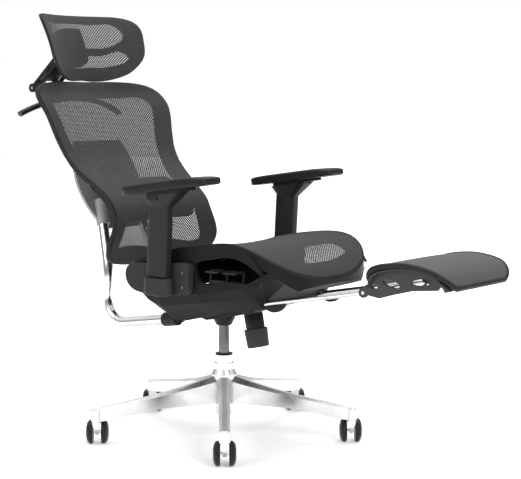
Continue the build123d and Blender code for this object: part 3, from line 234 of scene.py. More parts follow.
def joined(parts):
    """Several (points, faces) pairs as one."""
    points, faces, count = [], [], 0
    for some_points, some_faces in parts:
        points.append(some_points)
        faces += [block + count for block in some_faces]
        count += len(some_points)
    return np.vstack(points), faces


# ----------------------------------------------------------------------------- node groups
def new_group(name, inputs, outputs):
    """An empty shader group with float or vector sockets; returns the tree and its two ends."""
    tree = bpy.data.node_groups.new(name, "ShaderNodeTree")
    for label, kind, value in inputs:
        socket = tree.interface.new_socket(name=label, in_out="INPUT", socket_type="NodeSocket" + kind)
        if value is not None:
            socket.default_value = value
    for label, kind in outputs:
        tree.interface.new_socket(name=label, in_out="OUTPUT", socket_type="NodeSocket" + kind)
    return tree, tree.nodes.new("NodeGroupInput"), tree.nodes.new("NodeGroupOutput")


def add(tree, kind, **values):
    """A node with its settings; a key that starts with in_ sets the input of that number."""
    node = tree.nodes.new("ShaderNode" + kind)
    for key, value in values.items():
        if key.startswith("in_"):
            node.inputs[int(key[3:])].default_value = value
        else:
            setattr(node, key, value)
    return node


def link(tree, source, target):
    """A wire from one socket to another."""
    tree.links.new(source, target)


def maths(tree, operation, first, second=None):
    """One Math node; each operand is a socket or a number."""
    node = tree.nodes.new("ShaderNodeMath")
    node.operation = operation
    for number, value in enumerate((first, second)):
        if value is None:
            continue
        if isinstance(value, (int, float)):
            node.inputs[number].default_value = value
        else:
            tree.links.new(value, node.inputs[number])
    return node.outputs[0]


def smooth_step(tree, value, low, high):
    """0 below low, 1 above high, and a smooth rise between them."""
    node = add(tree, "MapRange", interpolation_type="SMOOTHSTEP", in_1=low, in_2=high)
    tree.links.new(value, node.inputs[0])
    return node.outputs[0]


def weave_group():
    """Open weave: staggered holes between warp and weft, with the threads' relief and uneven tone.

    With a = sin(2 pi u / pitch) and b = sin(2 pi v / pitch), a hole opens where the product of a and b passes
    the threshold, and the threads stand highest where that product is near nought."""
    inputs = [("Vector", "Vector", None), ("Pitch", "Float", WEAVE_PITCH), ("Threshold", "Float", 0.4)]
    outputs = [("Open", "Float"), ("Height", "Float"), ("Tone", "Float")]
    tree, ins, outs = new_group("open_weave", inputs, outputs)
    split = add(tree, "SeparateXYZ")
    link(tree, ins.outputs["Vector"], split.inputs[0])
    waves = []
    for axis in (0, 1):
        turns = maths(tree, "DIVIDE", split.outputs[axis], ins.outputs["Pitch"])
        waves.append(maths(tree, "SINE", maths(tree, "MULTIPLY", turns, 2 * math.pi)))
    product = maths(tree, "MULTIPLY", waves[0], waves[1])
    over = maths(tree, "SUBTRACT", product, ins.outputs["Threshold"])
    opening = smooth_step(tree, over, -0.05, 0.12)
    link(tree, opening, outs.inputs["Open"])
    yarn = maths(tree, "ABSOLUTE", product)
    link(tree, maths(tree, "SUBTRACT", 1.0, yarn), outs.inputs["Height"])
    streak = add(tree, "TexNoise", in_2=22.0, in_3=3.0)
    stretch = add(tree, "VectorMath", operation="MULTIPLY", in_1=(1.0, 14.0, 1.0))
    link(tree, ins.outputs["Vector"], stretch.inputs[0])
    link(tree, stretch.outputs[0], streak.inputs[0])
    link(tree, smooth_step(tree, streak.outputs[0], 0.25, 0.75), outs.inputs["Tone"])
    return tree


def grain_group():
    """Fine pebbled grain of moulded plastic: two noises of different size, as a height and a tone."""
    tree, ins, outs = new_group("moulded_grain", [("Scale", "Float", 900.0)],
                                [("Height", "Float"), ("Tone", "Float")])
    place = add(tree, "TexCoord")
    fine = add(tree, "TexNoise", in_3=2.0)
    link(tree, place.outputs["Object"], fine.inputs[0])
    link(tree, ins.outputs["Scale"], fine.inputs[2])
    cells = add(tree, "TexVoronoi")
    link(tree, place.outputs["Object"], cells.inputs[0])
    link(tree, maths(tree, "MULTIPLY", ins.outputs["Scale"], 0.6), cells.inputs[2])
    link(tree, maths(tree, "ADD", fine.outputs[0], cells.outputs[0]), outs.inputs["Height"])
    broad = add(tree, "TexNoise", in_2=7.0, in_3=4.0)
    link(tree, place.outputs["Object"], broad.inputs[0])
    link(tree, smooth_step(tree, broad.outputs[0], 0.3, 0.7), outs.inputs["Tone"])
    return tree


def wear_and_reflection_group():
    """Mask of edges: where a rounded normal leaves the true one, broken up by noise. Paler edges painted
    through it are wear; darker edges on polished metal are a painted reflection of dark surroundings.
    """
    tree, ins, outs = new_group("edge_wear_and_painted_reflection", [("Width", "Float", 0.0012)], [("Mask", "Float")])
    bevel = add(tree, "Bevel", samples=3)
    link(tree, ins.outputs["Width"], bevel.inputs[0])
    true = add(tree, "NewGeometry")
    dot = add(tree, "VectorMath", operation="DOT_PRODUCT")
    link(tree, bevel.outputs[0], dot.inputs[0])
    link(tree, true.outputs["Normal"], dot.inputs[1])
    edge = smooth_step(tree, maths(tree, "SUBTRACT", 1.0, dot.outputs["Value"]), 0.01, 0.22)
    place = add(tree, "TexCoord")
    noise = add(tree, "TexNoise", in_2=60.0, in_3=3.0)
    link(tree, place.outputs["Object"], noise.inputs[0])
    broken = smooth_step(tree, noise.outputs[0], 0.35, 0.7)
    link(tree, maths(tree, "MULTIPLY", edge, broken), outs.inputs["Mask"])
    return tree


def smudge_group():
    """Uneven polish: soft patches from 0 to 1."""
    tree, ins, outs = new_group("polish_smudge", [("Scale", "Float", 14.0)], [("Amount", "Float")])
    place = add(tree, "TexCoord")
    patches = add(tree, "TexNoise", in_3=5.0)
    link(tree, place.outputs["Object"], patches.inputs[0])
    link(tree, ins.outputs["Scale"], patches.inputs[2])
    link(tree, smooth_step(tree, patches.outputs[0], 0.35, 0.7), outs.inputs["Amount"])
    return tree


# the edge mask carries both real wear and painted dark reflections on metal edges
WEAVE = weave_group()
GRAIN = grain_group()
EDGE_WEAR_AND_REFLECTION = wear_and_reflection_group()
SMUDGE = smudge_group()


# ----------------------------------------------------------------------------- materials
def new_material(name):
    """A material with its tree and its main shader."""
    material = bpy.data.materials.new(name)
    material.use_nodes = True
    tree = material.node_tree
    return material, tree, tree.nodes["Principled BSDF"]


def place_group(tree, group, **values):
    """A group in a material's tree, with its own input values."""
    node = tree.nodes.new("ShaderNodeGroup")
    node.node_tree = group
    for key, value in values.items():
        node.inputs[key].default_value = value
    return node


def mixed(tree, share, one, two):
    """Colour between two others, by a mask."""
    node = add(tree, "Mix", data_type="RGBA")
    tree.links.new(share, node.inputs[0])
    for number, colour in ((6, one), (7, two)):
        if isinstance(colour, tuple):
            node.inputs[number].default_value = (*colour, 1)
        else:
            tree.links.new(colour, node.inputs[number])
    return node.outputs[2]


def between(tree, share, low, high):
    """The value that lies at a share of the way from low to high."""
    node = add(tree, "MapRange", in_3=low, in_4=high)
    tree.links.new(share, node.inputs[0])
    return node.outputs[0]


def bump(tree, height, strength, distance, shader):
    """Relief from a height, on a shader's normal."""
    node = add(tree, "Bump", in_0=strength, in_1=distance)
    link(tree, height, node.inputs["Height"])
    link(tree, node.outputs[0], shader.inputs["Normal"])


def grey(tone):
    """A neutral colour."""
    return (tone, tone, tone)


def moulded(name, tone, rough, grain=900.0, depth=0.05, wear=1.7, shine=0.28):
    """Moulded plastic: grained, a little uneven in tone, and paler on handled edges."""
    material, tree, shader = new_material(name)
    texture = place_group(tree, GRAIN, Scale=grain)
    edges = place_group(tree, EDGE_WEAR_AND_REFLECTION)
    body = mixed(tree, texture.outputs["Tone"], grey(tone * 0.88), grey(tone * 1.12))
    link(tree, mixed(tree, edges.outputs["Mask"], body, grey(tone * wear)), shader.inputs["Base Color"])
    polish = between(tree, texture.outputs["Tone"], rough - 0.04, rough + 0.05)
    link(tree, polish, shader.inputs["Roughness"])
    shader.inputs["Specular IOR Level"].default_value = shine
    bump(tree, texture.outputs["Height"], depth, 0.0004, shader)
    return material


def metal(name, tone, rough, edge_tone=0.9, edge=0.8 * MM, lines=0.0, top_rough=None):
    """Polished or ground metal with smudges in its polish and edges of another brightness: a paler edge tone
    is wear, a darker one is a painted reflection of dark surroundings in the rounded edges.

    top_rough is the roughness of faces that look up, which shoes and mops dull."""
    material, tree, shader = new_material(name)
    patches = place_group(tree, SMUDGE)
    edges = place_group(tree, EDGE_WEAR_AND_REFLECTION, Width=edge)
    body = mixed(tree, patches.outputs["Amount"], grey(tone), grey(tone * 0.9))
    # an edge_tone below tone paints dark reflections along rounded edges; an edge_tone above it paints worn
    # edges
    link(tree, mixed(tree, edges.outputs["Mask"], body, grey(edge_tone)), shader.inputs["Base Color"])
    polish = between(tree, patches.outputs["Amount"], rough, rough * 1.8)
    if top_rough:
        split = add(tree, "SeparateXYZ")
        link(tree, add(tree, "NewGeometry").outputs["Normal"], split.inputs[0])
        dulled = between(tree, smooth_step(tree, split.outputs[2], 0.55, 0.85), 0.0, top_rough - rough)
        polish = maths(tree, "ADD", polish, dulled)
    link(tree, polish, shader.inputs["Roughness"])
    shader.inputs["Metallic"].default_value = 1.0
    if lines:
        texture = place_group(tree, GRAIN, Scale=1500.0)
        bump(tree, texture.outputs["Height"], lines, 0.0002, shader)
    return material


def open_cloth(name, dark, pale, threshold):
    """Elastic woven mesh: threads of two tones, see-through between them, soft sheen on the yarn, and painted
    shade that darkens the threads where they dip towards the holes.
    """
    material, tree, shader = new_material(name)
    layer = add(tree, "UVMap", uv_map="weave")
    weave = place_group(tree, WEAVE, Threshold=threshold)
    link(tree, layer.outputs[0], weave.inputs["Vector"])
    threads = mixed(tree, weave.outputs["Tone"], grey(dark), grey(pale))
    # painted shade: threads fall to half the dark tone where their relief is low, in the hollows by the holes
    link(tree, mixed(tree, weave.outputs["Height"], grey(dark * 0.5), threads), shader.inputs["Base Color"])
    link(tree, maths(tree, "SUBTRACT", 1.0, weave.outputs["Open"]), shader.inputs["Alpha"])
    link(tree, between(tree, weave.outputs["Tone"], 0.62, 0.78), shader.inputs["Roughness"])
    shader.inputs["Sheen Weight"].default_value = 0.08
    shader.inputs["Specular IOR Level"].default_value = 0.3
    bump(tree, weave.outputs["Height"], 0.5, 0.0006, shader)
    return material


M = {
    "arch": moulded("arch_black", 0.007, 0.44, grain=1400.0, depth=0.02, shine=0.12),
    "black": moulded("moulded_black", 0.008, 0.44, shine=0.22),
    "shell": moulded("shell_charcoal", 0.010, 0.54, shine=0.12),
    "bracket": moulded("bracket_charcoal", 0.024, 0.50, shine=0.2),
    # painted light: the spine plate's tone is raised to 0.43 so that it still reads grey in the shade it sits
    # in
    "shield": moulded("shield_grey_painted_light", 0.430, 0.40, wear=1.1),
    "grey": moulded("footrest_grey", 0.041, 0.45, wear=1.3),
    "post": moulded("sleeve_black", 0.014, 0.46, grain=1100.0, depth=0.06, shine=0.22),
    "button": moulded("button_black", 0.006, 0.40),
    "grip": moulded("grip_grey", 0.034, 0.55, depth=0.1),
    "tyre": moulded("tread_black", 0.008, 0.38, depth=0.03),
    "pad": moulded("pad_skin", 0.008, 0.44, grain=520.0, depth=0.12, shine=0.22),
    "cast": moulded("cast_black", 0.009, 0.42, grain=500.0, depth=0.1),
    "sheath": moulded("cable_sheath", 0.008, 0.45),
    "band": moulded("band_black", 0.020, 0.62, depth=0.1, shine=0.15),
    # edge_tone 0.22 on the polished and base aluminium paints dark reflections along their rounded edges
    "polished": metal("polished_aluminium", 0.78, 0.14, edge_tone=0.22, edge=1.6 * MM),
    "base": metal("base_aluminium", 0.86, 0.14, edge_tone=0.22, edge=1.6 * MM, top_rough=0.5),
    "steel": metal("ground_steel", 0.55, 0.22, lines=0.05),
    "screw": metal("blackened_screw", 0.10, 0.35, edge_tone=0.3),
    # edge_tone 0.05 on the dark column paints dark reflections along its rounded edges
    "column": metal("dark_column", 0.16, 0.25, edge_tone=0.05, edge=1.2 * MM),
    "back_cloth": open_cloth("back_weave", 0.023, 0.042, 0.46),
    "head_cloth": open_cloth("headrest_weave", 0.026, 0.048, 0.34),
    "seat_cloth": open_cloth("seat_weave", 0.026, 0.046, 0.36),
    "foot_cloth": open_cloth("footrest_weave", 0.052, 0.090, 2.0),
}

NODE_FINISH = {
    "base": ["base_star"],
    "polished": ["column_tube", "back_bar", "footrest_rails", *(f"caster_fork_{i}" for i in range(1, 6))],
    "tyre": [f"caster_wheel_{side}_{i}" for side in "ab" for i in range(1, 6)],
    "steel": ["thrust_bearing", "piston_rod", "tilt_shaft", "tension_spring", "footrest_pivot",
              "headrest_pins"],
    "column": ["gas_cylinder"],
    "cast": ["mechanism_housing", "back_yoke"],
    "arch": ["seat_frame"],
    "shell": ["seat_pan"],
    "bracket": ["arm_bracket_left", "arm_bracket_right"],
    "shield": ["spine_plate"],
    "grey": ["footrest_shell"],
    "post": ["arm_post_left", "arm_post_right"],
    "button": ["arm_button_left", "arm_button_right", "height_paddle", "tilt_paddle", "paddle_bracket"],
    "grip": ["tension_knob"],
    "band": ["back_frame", "headrest_frame", "lumbar_pad"],
    "black": ["column_bush", "rail_guides", "back_carriage", "coat_hanger", "headrest_arm", "headrest_link",
              "arm_carrier_left", "arm_carrier_right"],
}


def finish_nodes():
    """Gives every shown node of the frame its finish."""
    for finish, names in NODE_FINISH.items():
        for name in names:
            mesh = NODES[name].data
            mesh.materials.clear()
            mesh.materials.append(M[finish])


# ----------------------------------------------------------------------------- cloths
class Panel:
    """A stretched cloth, read from the solid that it stands for.

    across and along number the two axes that it spreads over, depth is the third, and facing is the sign of
    the side that is seen. The surface is a sum of Chebyshev terms along, plus terms times across squared."""

    def __init__(self, node, across, along, depth, facing):
        """Sorts the solid's corners by the way their faces turn, then fits the face and its outline."""
        self.axes = (across, along, depth)
        self.facing = facing
        mesh = NODES[node].data
        points = node_points(node)
        corners = np.empty(len(mesh.polygons) * 3, np.int32)
        mesh.polygons.foreach_get("vertices", corners)
        corners = corners.reshape(-1, 3)
        a, b, c = (points[corners[:, k]] for k in range(3))
        normals = np.cross(b - a, c - a)
        normals = normals / np.maximum(np.linalg.norm(normals, axis=1, keepdims=True), 1e-12)
        front = corners[normals[:, depth] * facing > FACE_FACING]
        wall = corners[np.abs(normals[:, depth]) < WALL_FACING]
        self.fit(points[np.unique(front)])
        self.trace(points[np.unique(wall)])

    def fit(self, points):
        """Least-squares fit of the depth of the face's points."""
        across, along, depth = self.axes
        low, high = points[:, along].min(), points[:, along].max()
        self.middle, self.half = (low + high) / 2, (high - low) / 2
        self.spread = np.abs(points[:, across]).max()
        basis = self.basis(points[:, across], points[:, along])
        self.terms = np.linalg.lstsq(basis, points[:, depth], rcond=None)[0]

    def basis(self, across, along):
        """The terms that the surface is a sum of, at the given places."""
        share = np.clip((along - self.middle) / self.half, -1, 1)
        first = np.polynomial.chebyshev.chebvander(share, PROFILE_DEGREE)
        second = (across / self.spread)[..., None] ** 2 * np.polynomial.chebyshev.chebvander(share, 2)
        return np.concatenate([first, second], axis=-1)

    def trace(self, points):
        """Outline as a radius round the middle, kept to its longest waves so that it is smooth."""
        x, v = points[:, self.axes[0]], points[:, self.axes[1]] - self.middle
        angle = np.arctan2(v, x)
        order = np.argsort(angle)
        self.angle = np.linspace(-np.pi, np.pi, SPOKES, endpoint=False)
        radius = np.interp(self.angle, angle[order], np.hypot(x, v)[order], period=2 * np.pi)
        radius = (radius + np.roll(radius[::-1], SPOKES // 2 + 1)) / 2
        waves = np.fft.rfft(radius)
        waves[OUTLINE_WAVES:] = 0
        self.radius = np.fft.irfft(waves, SPOKES)

    def surface(self, across, along, lift=0.0):
        """Points on the cloth's outer face, moved outwards by lift along the depth axis."""
        points = np.empty(across.shape + (3,))
        points[..., self.axes[0]] = across
        points[..., self.axes[1]] = along
        points[..., self.axes[2]] = self.basis(across, along) @ self.terms + lift * self.facing
        return points

    def spokes(self, share, inset=0.0):
        """Across and along places at a share of the outline; an array of shares gives rows."""
        radius = np.asarray(share)[..., None] * (self.radius - inset)
        return radius * np.cos(self.angle), self.middle + radius * np.sin(self.angle)

    def cloth_length(self, along):
        """Length along the middle profile, so that the weave keeps its pitch on steep parts."""
        steps = np.linspace(self.middle - self.half, self.middle + self.half, 400)
        path = self.surface(np.zeros_like(steps), steps)
        run = np.concatenate([[0], np.cumsum(np.linalg.norm(np.diff(path, axis=0), axis=1))])
        return np.interp(along, steps, run)


def make_cloth(name, panel, node, material, body):
    """A cloth on spokes round the panel's middle. Its ring shares are sin t, so rings crowd at the edge."""
    share = np.sin(np.linspace(0, np.pi / 2, RINGS + 1)[1:])
    points = panel.surface(*panel.spokes(share)).reshape(-1, 3)
    pole = panel.surface(np.zeros(1), np.full(1, panel.middle))
    points = np.vstack([points, pole])
    flip = panel.facing * (1 if panel.axes[2] == 2 else -1) < 0
    rings = quads(RINGS, SPOKES, wrap_cols=True)
    centre = fan(len(points) - 1, np.arange(SPOKES))
    faces = [rings if flip else rings[:, ::-1], centre[:, ::-1] if flip else centre]
    uv = np.stack([points[:, panel.axes[0]], panel.cloth_length(points[:, panel.axes[1]])], axis=-1)
    piece = make_piece(name, points, faces, material, body, uv=uv)
    wall = piece.modifiers.new("thickness", "SOLIDIFY")
    wall.thickness = CLOTH_T
    wall.offset = -1
    wall.use_rim = True
    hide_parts(node)
    return piece


def make_piping(name, panel, body):
    """Rolled edge of a cloth: a round bar just outside its outline, sunk a little below its face."""
    path = panel.surface(*panel.spokes(1.0, -PIPING_OUT), -PIPING_SINK)
    points, faces = ring_bar(path, PIPING_R, path - path.mean(0), sides=10)
    return make_piece(name, points, faces, M["sheath"], body)


def make_cloths():
    """The cloths of the back, headrest and seat, and the seat's rolled edge."""
    back = Panel("back_mesh", 0, 2, 1, -1)
    make_cloth("back_cloth", back, "back_mesh", M["back_cloth"], "backrest")
    head = Panel("headrest_mesh", 0, 2, 1, -1)
    make_cloth("headrest_cloth", head, "headrest_mesh", M["head_cloth"], "headrest")
    seat = Panel("seat_mesh", 0, 1, 2, 1)
    make_cloth("seat_cloth", seat, "seat_mesh", M["seat_cloth"], "seat")
    make_piping("seat_piping", seat, "seat")


# ----------------------------------------------------------------------------- footrest
def footrest_profile():
    """The pad's top line as points (y, z), and the pad's two corners.

    The line is the largest radius in each small angle round a point below the pad, smoothed by a fit."""
    points = node_points("footrest_pad")
    low, high = points.min(0), points.max(0)
    centre = np.array([(low[1] + high[1]) / 2, low[2] - 0.2 * (high[1] - low[1])])
    away = points[:, 1:] - centre
    angle = np.arctan2(away[:, 1], away[:, 0])
    radius = np.hypot(away[:, 0], away[:, 1])
    steps = np.linspace(angle.min(), angle.max(), FOOT_CELLS + 1)
    cell = np.clip(np.digitize(angle, steps) - 1, 0, FOOT_CELLS - 1)
    best = np.zeros(FOOT_CELLS)
    np.maximum.at(best, cell, radius)
    middle = (steps[1:] + steps[:-1]) / 2
    keep = best > 0
    share = (middle - middle.mean()) / np.ptp(middle) * 2
    fit = np.polynomial.chebyshev.chebfit(share[keep], best[keep], FOOT_DEGREE)
    fine = np.linspace(angle.min(), angle.max(), FOOT_ROWS)
    out = np.polynomial.chebyshev.chebval((fine - middle.mean()) / np.ptp(middle) * 2, fit)
    return centre + out[:, None] * np.stack([np.cos(fine), np.sin(fine)], -1), low, high


def make_footrest_pad():
    """Crowned woven pad: the profile carried across the width, narrowed at its rounded corners."""
    line, low, high = footrest_profile()
    half = (high[0] - low[0]) / 2
    near = np.minimum(line[:, 0] - low[1], high[1] - line[:, 0])
    cut = np.clip(FOOT_CORNER - near, 0, FOOT_CORNER)
    width = half - FOOT_CORNER + np.sqrt(FOOT_CORNER ** 2 - cut ** 2)
    normal = unit(np.stack([-np.gradient(line[:, 1]), np.gradient(line[:, 0])], -1))
    normal *= np.sign(normal[len(normal) // 2, 1])
    run = np.concatenate([[0], np.cumsum(np.linalg.norm(np.diff(line, axis=0), axis=1))])
    t = run / run[-1]
    s = np.sin(np.linspace(-np.pi / 2, np.pi / 2, FOOT_COLS))
    arch_along, arch_across = np.clip(4 * t * (1 - t), 0, 1) ** 0.5, np.sqrt(np.clip(1 - s ** 2, 0, 1))
    crown = FOOT_CROWN * np.outer(arch_along, arch_across)
    top = np.empty((FOOT_ROWS, FOOT_COLS, 3))
    top[..., 0] = width[:, None] * s
    top[..., 1:] = line[:, None] + (crown - FOOT_SKIN)[..., None] * normal[:, None]
    under = top.copy()
    under[..., 1:] = line[:, None] - FOOT_DEPTH * normal[:, None]
    points = np.vstack([top.reshape(-1, 3), under.reshape(-1, 3)])
    count = FOOT_ROWS * FOOT_COLS
    cells = quads(FOOT_ROWS, FOOT_COLS)
    border = np.concatenate([np.arange(FOOT_COLS), np.arange(2, FOOT_ROWS + 1) * FOOT_COLS - 1,
                             np.arange(count - 2, count - FOOT_COLS - 1, -1),
                             np.arange(FOOT_ROWS - 2, 0, -1) * FOOT_COLS])
    after = np.roll(border, -1)
    rim = np.stack([border, border + count, after + count, after], -1)
    layer = np.stack([top[..., 0], np.broadcast_to(run[:, None], top.shape[:2])], -1).reshape(-1, 2)
    uv = np.concatenate([layer, layer])
    faces = [cells, cells[:, ::-1] + count, rim]
    faces = outward(points, faces)
    pad = make_piece("footrest_cushion", points, faces, M["foot_cloth"], "footrest", uv=uv, sharp=50)
    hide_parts("footrest_pad")
    sides = [np.stack([side * width, line[:, 0], line[:, 1]], -1)[::side] for side in (1, -1)]
    edge = np.concatenate(sides)
    inner = np.concatenate([normal, normal[::-1]])
    edge[:, 1:] -= inner * FOOT_RIM_DROP
    path = resample(edge, FOOT_RIM_POINTS)
    rim_points, rim_faces = ring_bar(path, FOOT_RIM_R, path - path.mean(0), sides=14)
    rim_piece = make_piece("footrest_rim", rim_points, rim_faces, M["black"], "footrest")
    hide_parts("footrest_pad")


def outward(points, faces):
    """The same faces, all turned round if the closed mesh they make is inside out."""
    volume = 0.0
    for block in faces:
        corner = points[block[:, 0]]
        for k in range(1, block.shape[1] - 1):
            volume += (corner * np.cross(points[block[:, k]], points[block[:, k + 1]])).sum()
    return faces if volume > 0 else [block[:, ::-1] for block in faces]


def resample(path, count):
    """A closed path at even spacing."""
    loop = np.vstack([path, path[:1]])
    run = np.concatenate([[0], np.cumsum(np.linalg.norm(np.diff(loop, axis=0), axis=1))])
    at = np.linspace(0, run[-1], count, endpoint=False)
    return np.stack([np.interp(at, run, loop[:, k]) for k in range(loop.shape[1])], -1)


# ----------------------------------------------------------------------------- armrests
def rounded_ring(half_long, half_wide, power, count=96):
    """Superellipse |y/a|^p + |x/b|^p = 1 as rows (y, x)."""
    angle = np.linspace(0, 2 * np.pi, count, endpoint=False)
    cos, sin = np.cos(angle), np.sin(angle)
    return np.stack([half_long * np.sign(cos) * np.abs(cos) ** (2 / power),
                     half_wide * np.sign(sin) * np.abs(sin) ** (2 / power)], -1)


def lofted(rows):
    """Points and faces of rings joined in a row, with both end rings closed by fans."""
    rows = np.asarray(rows)
    count, sides = len(rows) * rows.shape[1], rows.shape[1]
    points = np.vstack([rows.reshape(-1, 3), rows[0].mean(0)[None], rows[-1].mean(0)[None]])
    faces = [quads(len(rows), sides, wrap_cols=True), fan(count, np.arange(sides), flip=True),
             fan(count + 1, np.arange(count - sides, count))]
    return points, outward(points, faces)


def arm_directions(side):
    """Along the pad to its nose, across it, and square to it."""
    along = np.array(JOINTS[f"arm_pad_{side}_slide"]["axis"], float)
    across = np.array([1.0, 0, 0])
    up = np.cross(across, along)
    return along, across, up * np.sign(up[2])


def make_arm_sleeve(side):
    """Outer sleeve of an armrest: a straight leaning post that opens into a flare under the pad's carrier.

    The rings are superellipses square to the post up to its neck, then go over in straight lines to the ring
    under the carrier; at the foot the rings turn inwards and run up the bore to its closed end."""
    across, up = arm_directions(side)[1:]
    turn = 1 if side == "left" else -1
    rise = np.array(JOINTS[f"arm_height_{side}"]["axis"], float)
    ahead = np.cross(across, rise)
    foot = SLEEVE_FOOT * (turn, 1, 1)

    def ring(height, half):
        """A ring square to the post at a height above its foot."""
        flat = rounded_ring(*half, SLEEVE_POWER)
        return foot + height * rise + flat[:, :1] * ahead + flat[:, 1:] * across

    flat = rounded_ring(*FLARE_HALF, FLARE_POWER)
    top = FLARE_CENTRE * (turn, 1, 1) + flat[:, :1] * ahead + flat[:, 1:] * across
    under = (node_points(f"arm_pad_{side}") @ up).min() - SLEEVE_TOP_DROP
    top[:, 2] += (under - top @ up) / up[2]
    neck = ring(SLEEVE_NECK, SLEEVE_HALF)
    share = np.array(FLARE_SHARES)[:, None, None]
    spread = np.clip(share - FLARE_BLEND, 0, None) / (1 - FLARE_BLEND)
    middle = neck.mean(0) + (top.mean(0) - neck.mean(0)) * share
    flare = middle + (neck - neck.mean(0)) * (1 - spread) + (top - top.mean(0)) * spread
    foot_half = (SLEEVE_HALF[0] - SLEEVE_EDGE, SLEEVE_HALF[1] - SLEEVE_EDGE)
    mouth_half = (BORE_HALF[0] + SLEEVE_EDGE / 2, BORE_HALF[1] + SLEEVE_EDGE / 2)
    bore_heights = (SLEEVE_BORE, SLEEVE_BORE / 2, SLEEVE_EDGE / 2)
    post_heights = (SLEEVE_EDGE, 3 * SLEEVE_EDGE, SLEEVE_NECK / 3, SLEEVE_NECK / 1.5)
    rows = [ring(height, BORE_HALF) for height in bore_heights]
    rows += [ring(0, mouth_half), ring(0, foot_half)]
    rows += [ring(height, SLEEVE_HALF) for height in post_heights]
    points, faces = lofted(rows + list(flare))
    body = f"arm_post_{side}"
    sleeve = make_piece(f"arm_sleeve_{side}", points, faces, M["post"], body, sharp=30)
    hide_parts(f"arm_post_{side}")


def make_arm_pad(side):
    """Soft moulded pad: a rounded rectangle drawn in by a superelliptic dome, on a flat underside.

    At share s of the outline the top stands (1 - s^p)^(1/p) times the dome's rise above the side wall.
    Towards the nose it falls with the square of the way, and the outline narrows a little towards the rear."""
    node = f"arm_pad_{side}"
    along, across, up = arm_directions(side)
    local = node_points(node) @ np.stack([across, along, up], -1)
    low, high = local.min(0), local.max(0)
    middle, half = (low + high) / 2, (high - low) / 2
    outline = rounded_ring(half[1] - PAD_SHORTER, half[0], PAD_CORNER_POWER, PAD_SIDES)
    outline[:, 1] *= 1 - PAD_TAPER * (1 - outline[:, 0] / half[1]) / 2
    wall = PAD_SIDE_SHARE * 2 * half[2]
    dome = np.cos(np.linspace(0, np.pi / 2, PAD_RINGS))
    rise = (2 * half[2] + PAD_RISE - wall) * (1 - dome ** PAD_EDGE_POWER) ** (1 / PAD_EDGE_POWER)
    rows = [(0.93, 0.0), (0.975, 0.6 * MM), (0.995, 2.2 * MM), (1.0, PAD_FOOT_H)]
    rows = np.array(rows + [(s, wall + h) for s, h in zip(dome[:-1], rise[:-1])])
    grid = np.empty((len(rows), len(outline), 3))
    grid[..., 0] = middle[0] + rows[:, :1] * outline[:, 1]
    grid[..., 1] = middle[1] + rows[:, :1] * outline[:, 0]
    nose = np.clip((rows[:, :1] * outline[:, 0] - PAD_NOSE_START) / PAD_NOSE_RUN, 0, 1)
    upper = np.clip((rows[:, 1:] - PAD_FOOT_H) / (2 * half[2] - PAD_FOOT_H), 0, 1)
    fall = PAD_NOSE_DROP * nose ** 2 * upper
    grid[..., 2] = low[2] + rows[:, 1:] - fall
    placed = grid @ np.stack([across, along, up], 0)
    points, faces = lofted(placed)
    pad = make_piece(f"arm_cushion_{side}", points, faces, M["pad"], f"arm_pad_{side}")
    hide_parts(node)


def make_cable(name, paddle_y, end_y):
    """A control cable from its paddle to the housing's side, with a ferrule at each end."""
    bend = [(-156, paddle_y + 6, 438), (-84, end_y, 370)]
    route = np.array([(-190.5, paddle_y, 454), *bend, (-58, end_y, 370)]) * MM
    data = bpy.data.curves.new(name, "CURVE")
    data.dimensions = "3D"
    data.bevel_depth = CABLE_R
    data.bevel_resolution = 4
    data.resolution_u = 24
    data.use_fill_caps = True
    spline = data.splines.new("NURBS")
    spline.points.add(len(route) - 1)
    spline.points.foreach_set("co", np.hstack([route, np.ones((len(route), 1))]).ravel())
    spline.order_u = 3
    spline.use_endpoint_u = True
    data.materials.append(M["sheath"])
    cable = bpy.data.objects.new(name, data)
    bpy.context.scene.collection.objects.link(cable)
    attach(cable, "seat")
    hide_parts("control_cables")
    wide = CABLE_R * 1.5
    sleeve = [(CABLE_R * 1.02, 0), (wide, 0.6 * MM), (wide, 9 * MM), (CABLE_R * 1.15, 12 * MM)]
    for end, inner, label in ((route[0], route[1], "paddle"), (route[-1], route[-2], "housing")):
        points, faces = turned_arrays(sleeve, end, inner - end, segments=20)
        faces = outward(points, faces)
        make_piece(f"{name}_{label}_ferrule", points, faces, M["screw"], "seat", sharp=40)


# ----------------------------------------------------------------------------- fasteners and caps
def screw_head(centre, axis, radius):
    """Domed button head with a hexagon socket, as points and faces."""
    height, socket = 0.55 * radius, 0.5 * radius
    rows = [(radius * 1.02, -0.2 * MM), (radius, 0.25 * height), (radius * 0.9, 0.62 * height),
            (radius * 0.72, 0.9 * height), (radius * 0.56, height), (socket, height), (socket, 0.35 * height)]
    return turned_arrays(rows, centre, axis, segments=36, hex_rows=2, hex_r=socket)


def make_screws(side, outward_x):
    """The screw heads of an arm bracket as one piece."""
    places = [np.array((outward_x * SCREW_X, y, z)) * MM for y, z in SCREW_PLACES]
    points, faces = joined([screw_head(place, (outward_x, 0, 0), SCREW_R) for place in places])
    make_piece(f"bracket_screws_{side}", points, faces, M["screw"], "seat", sharp=38)


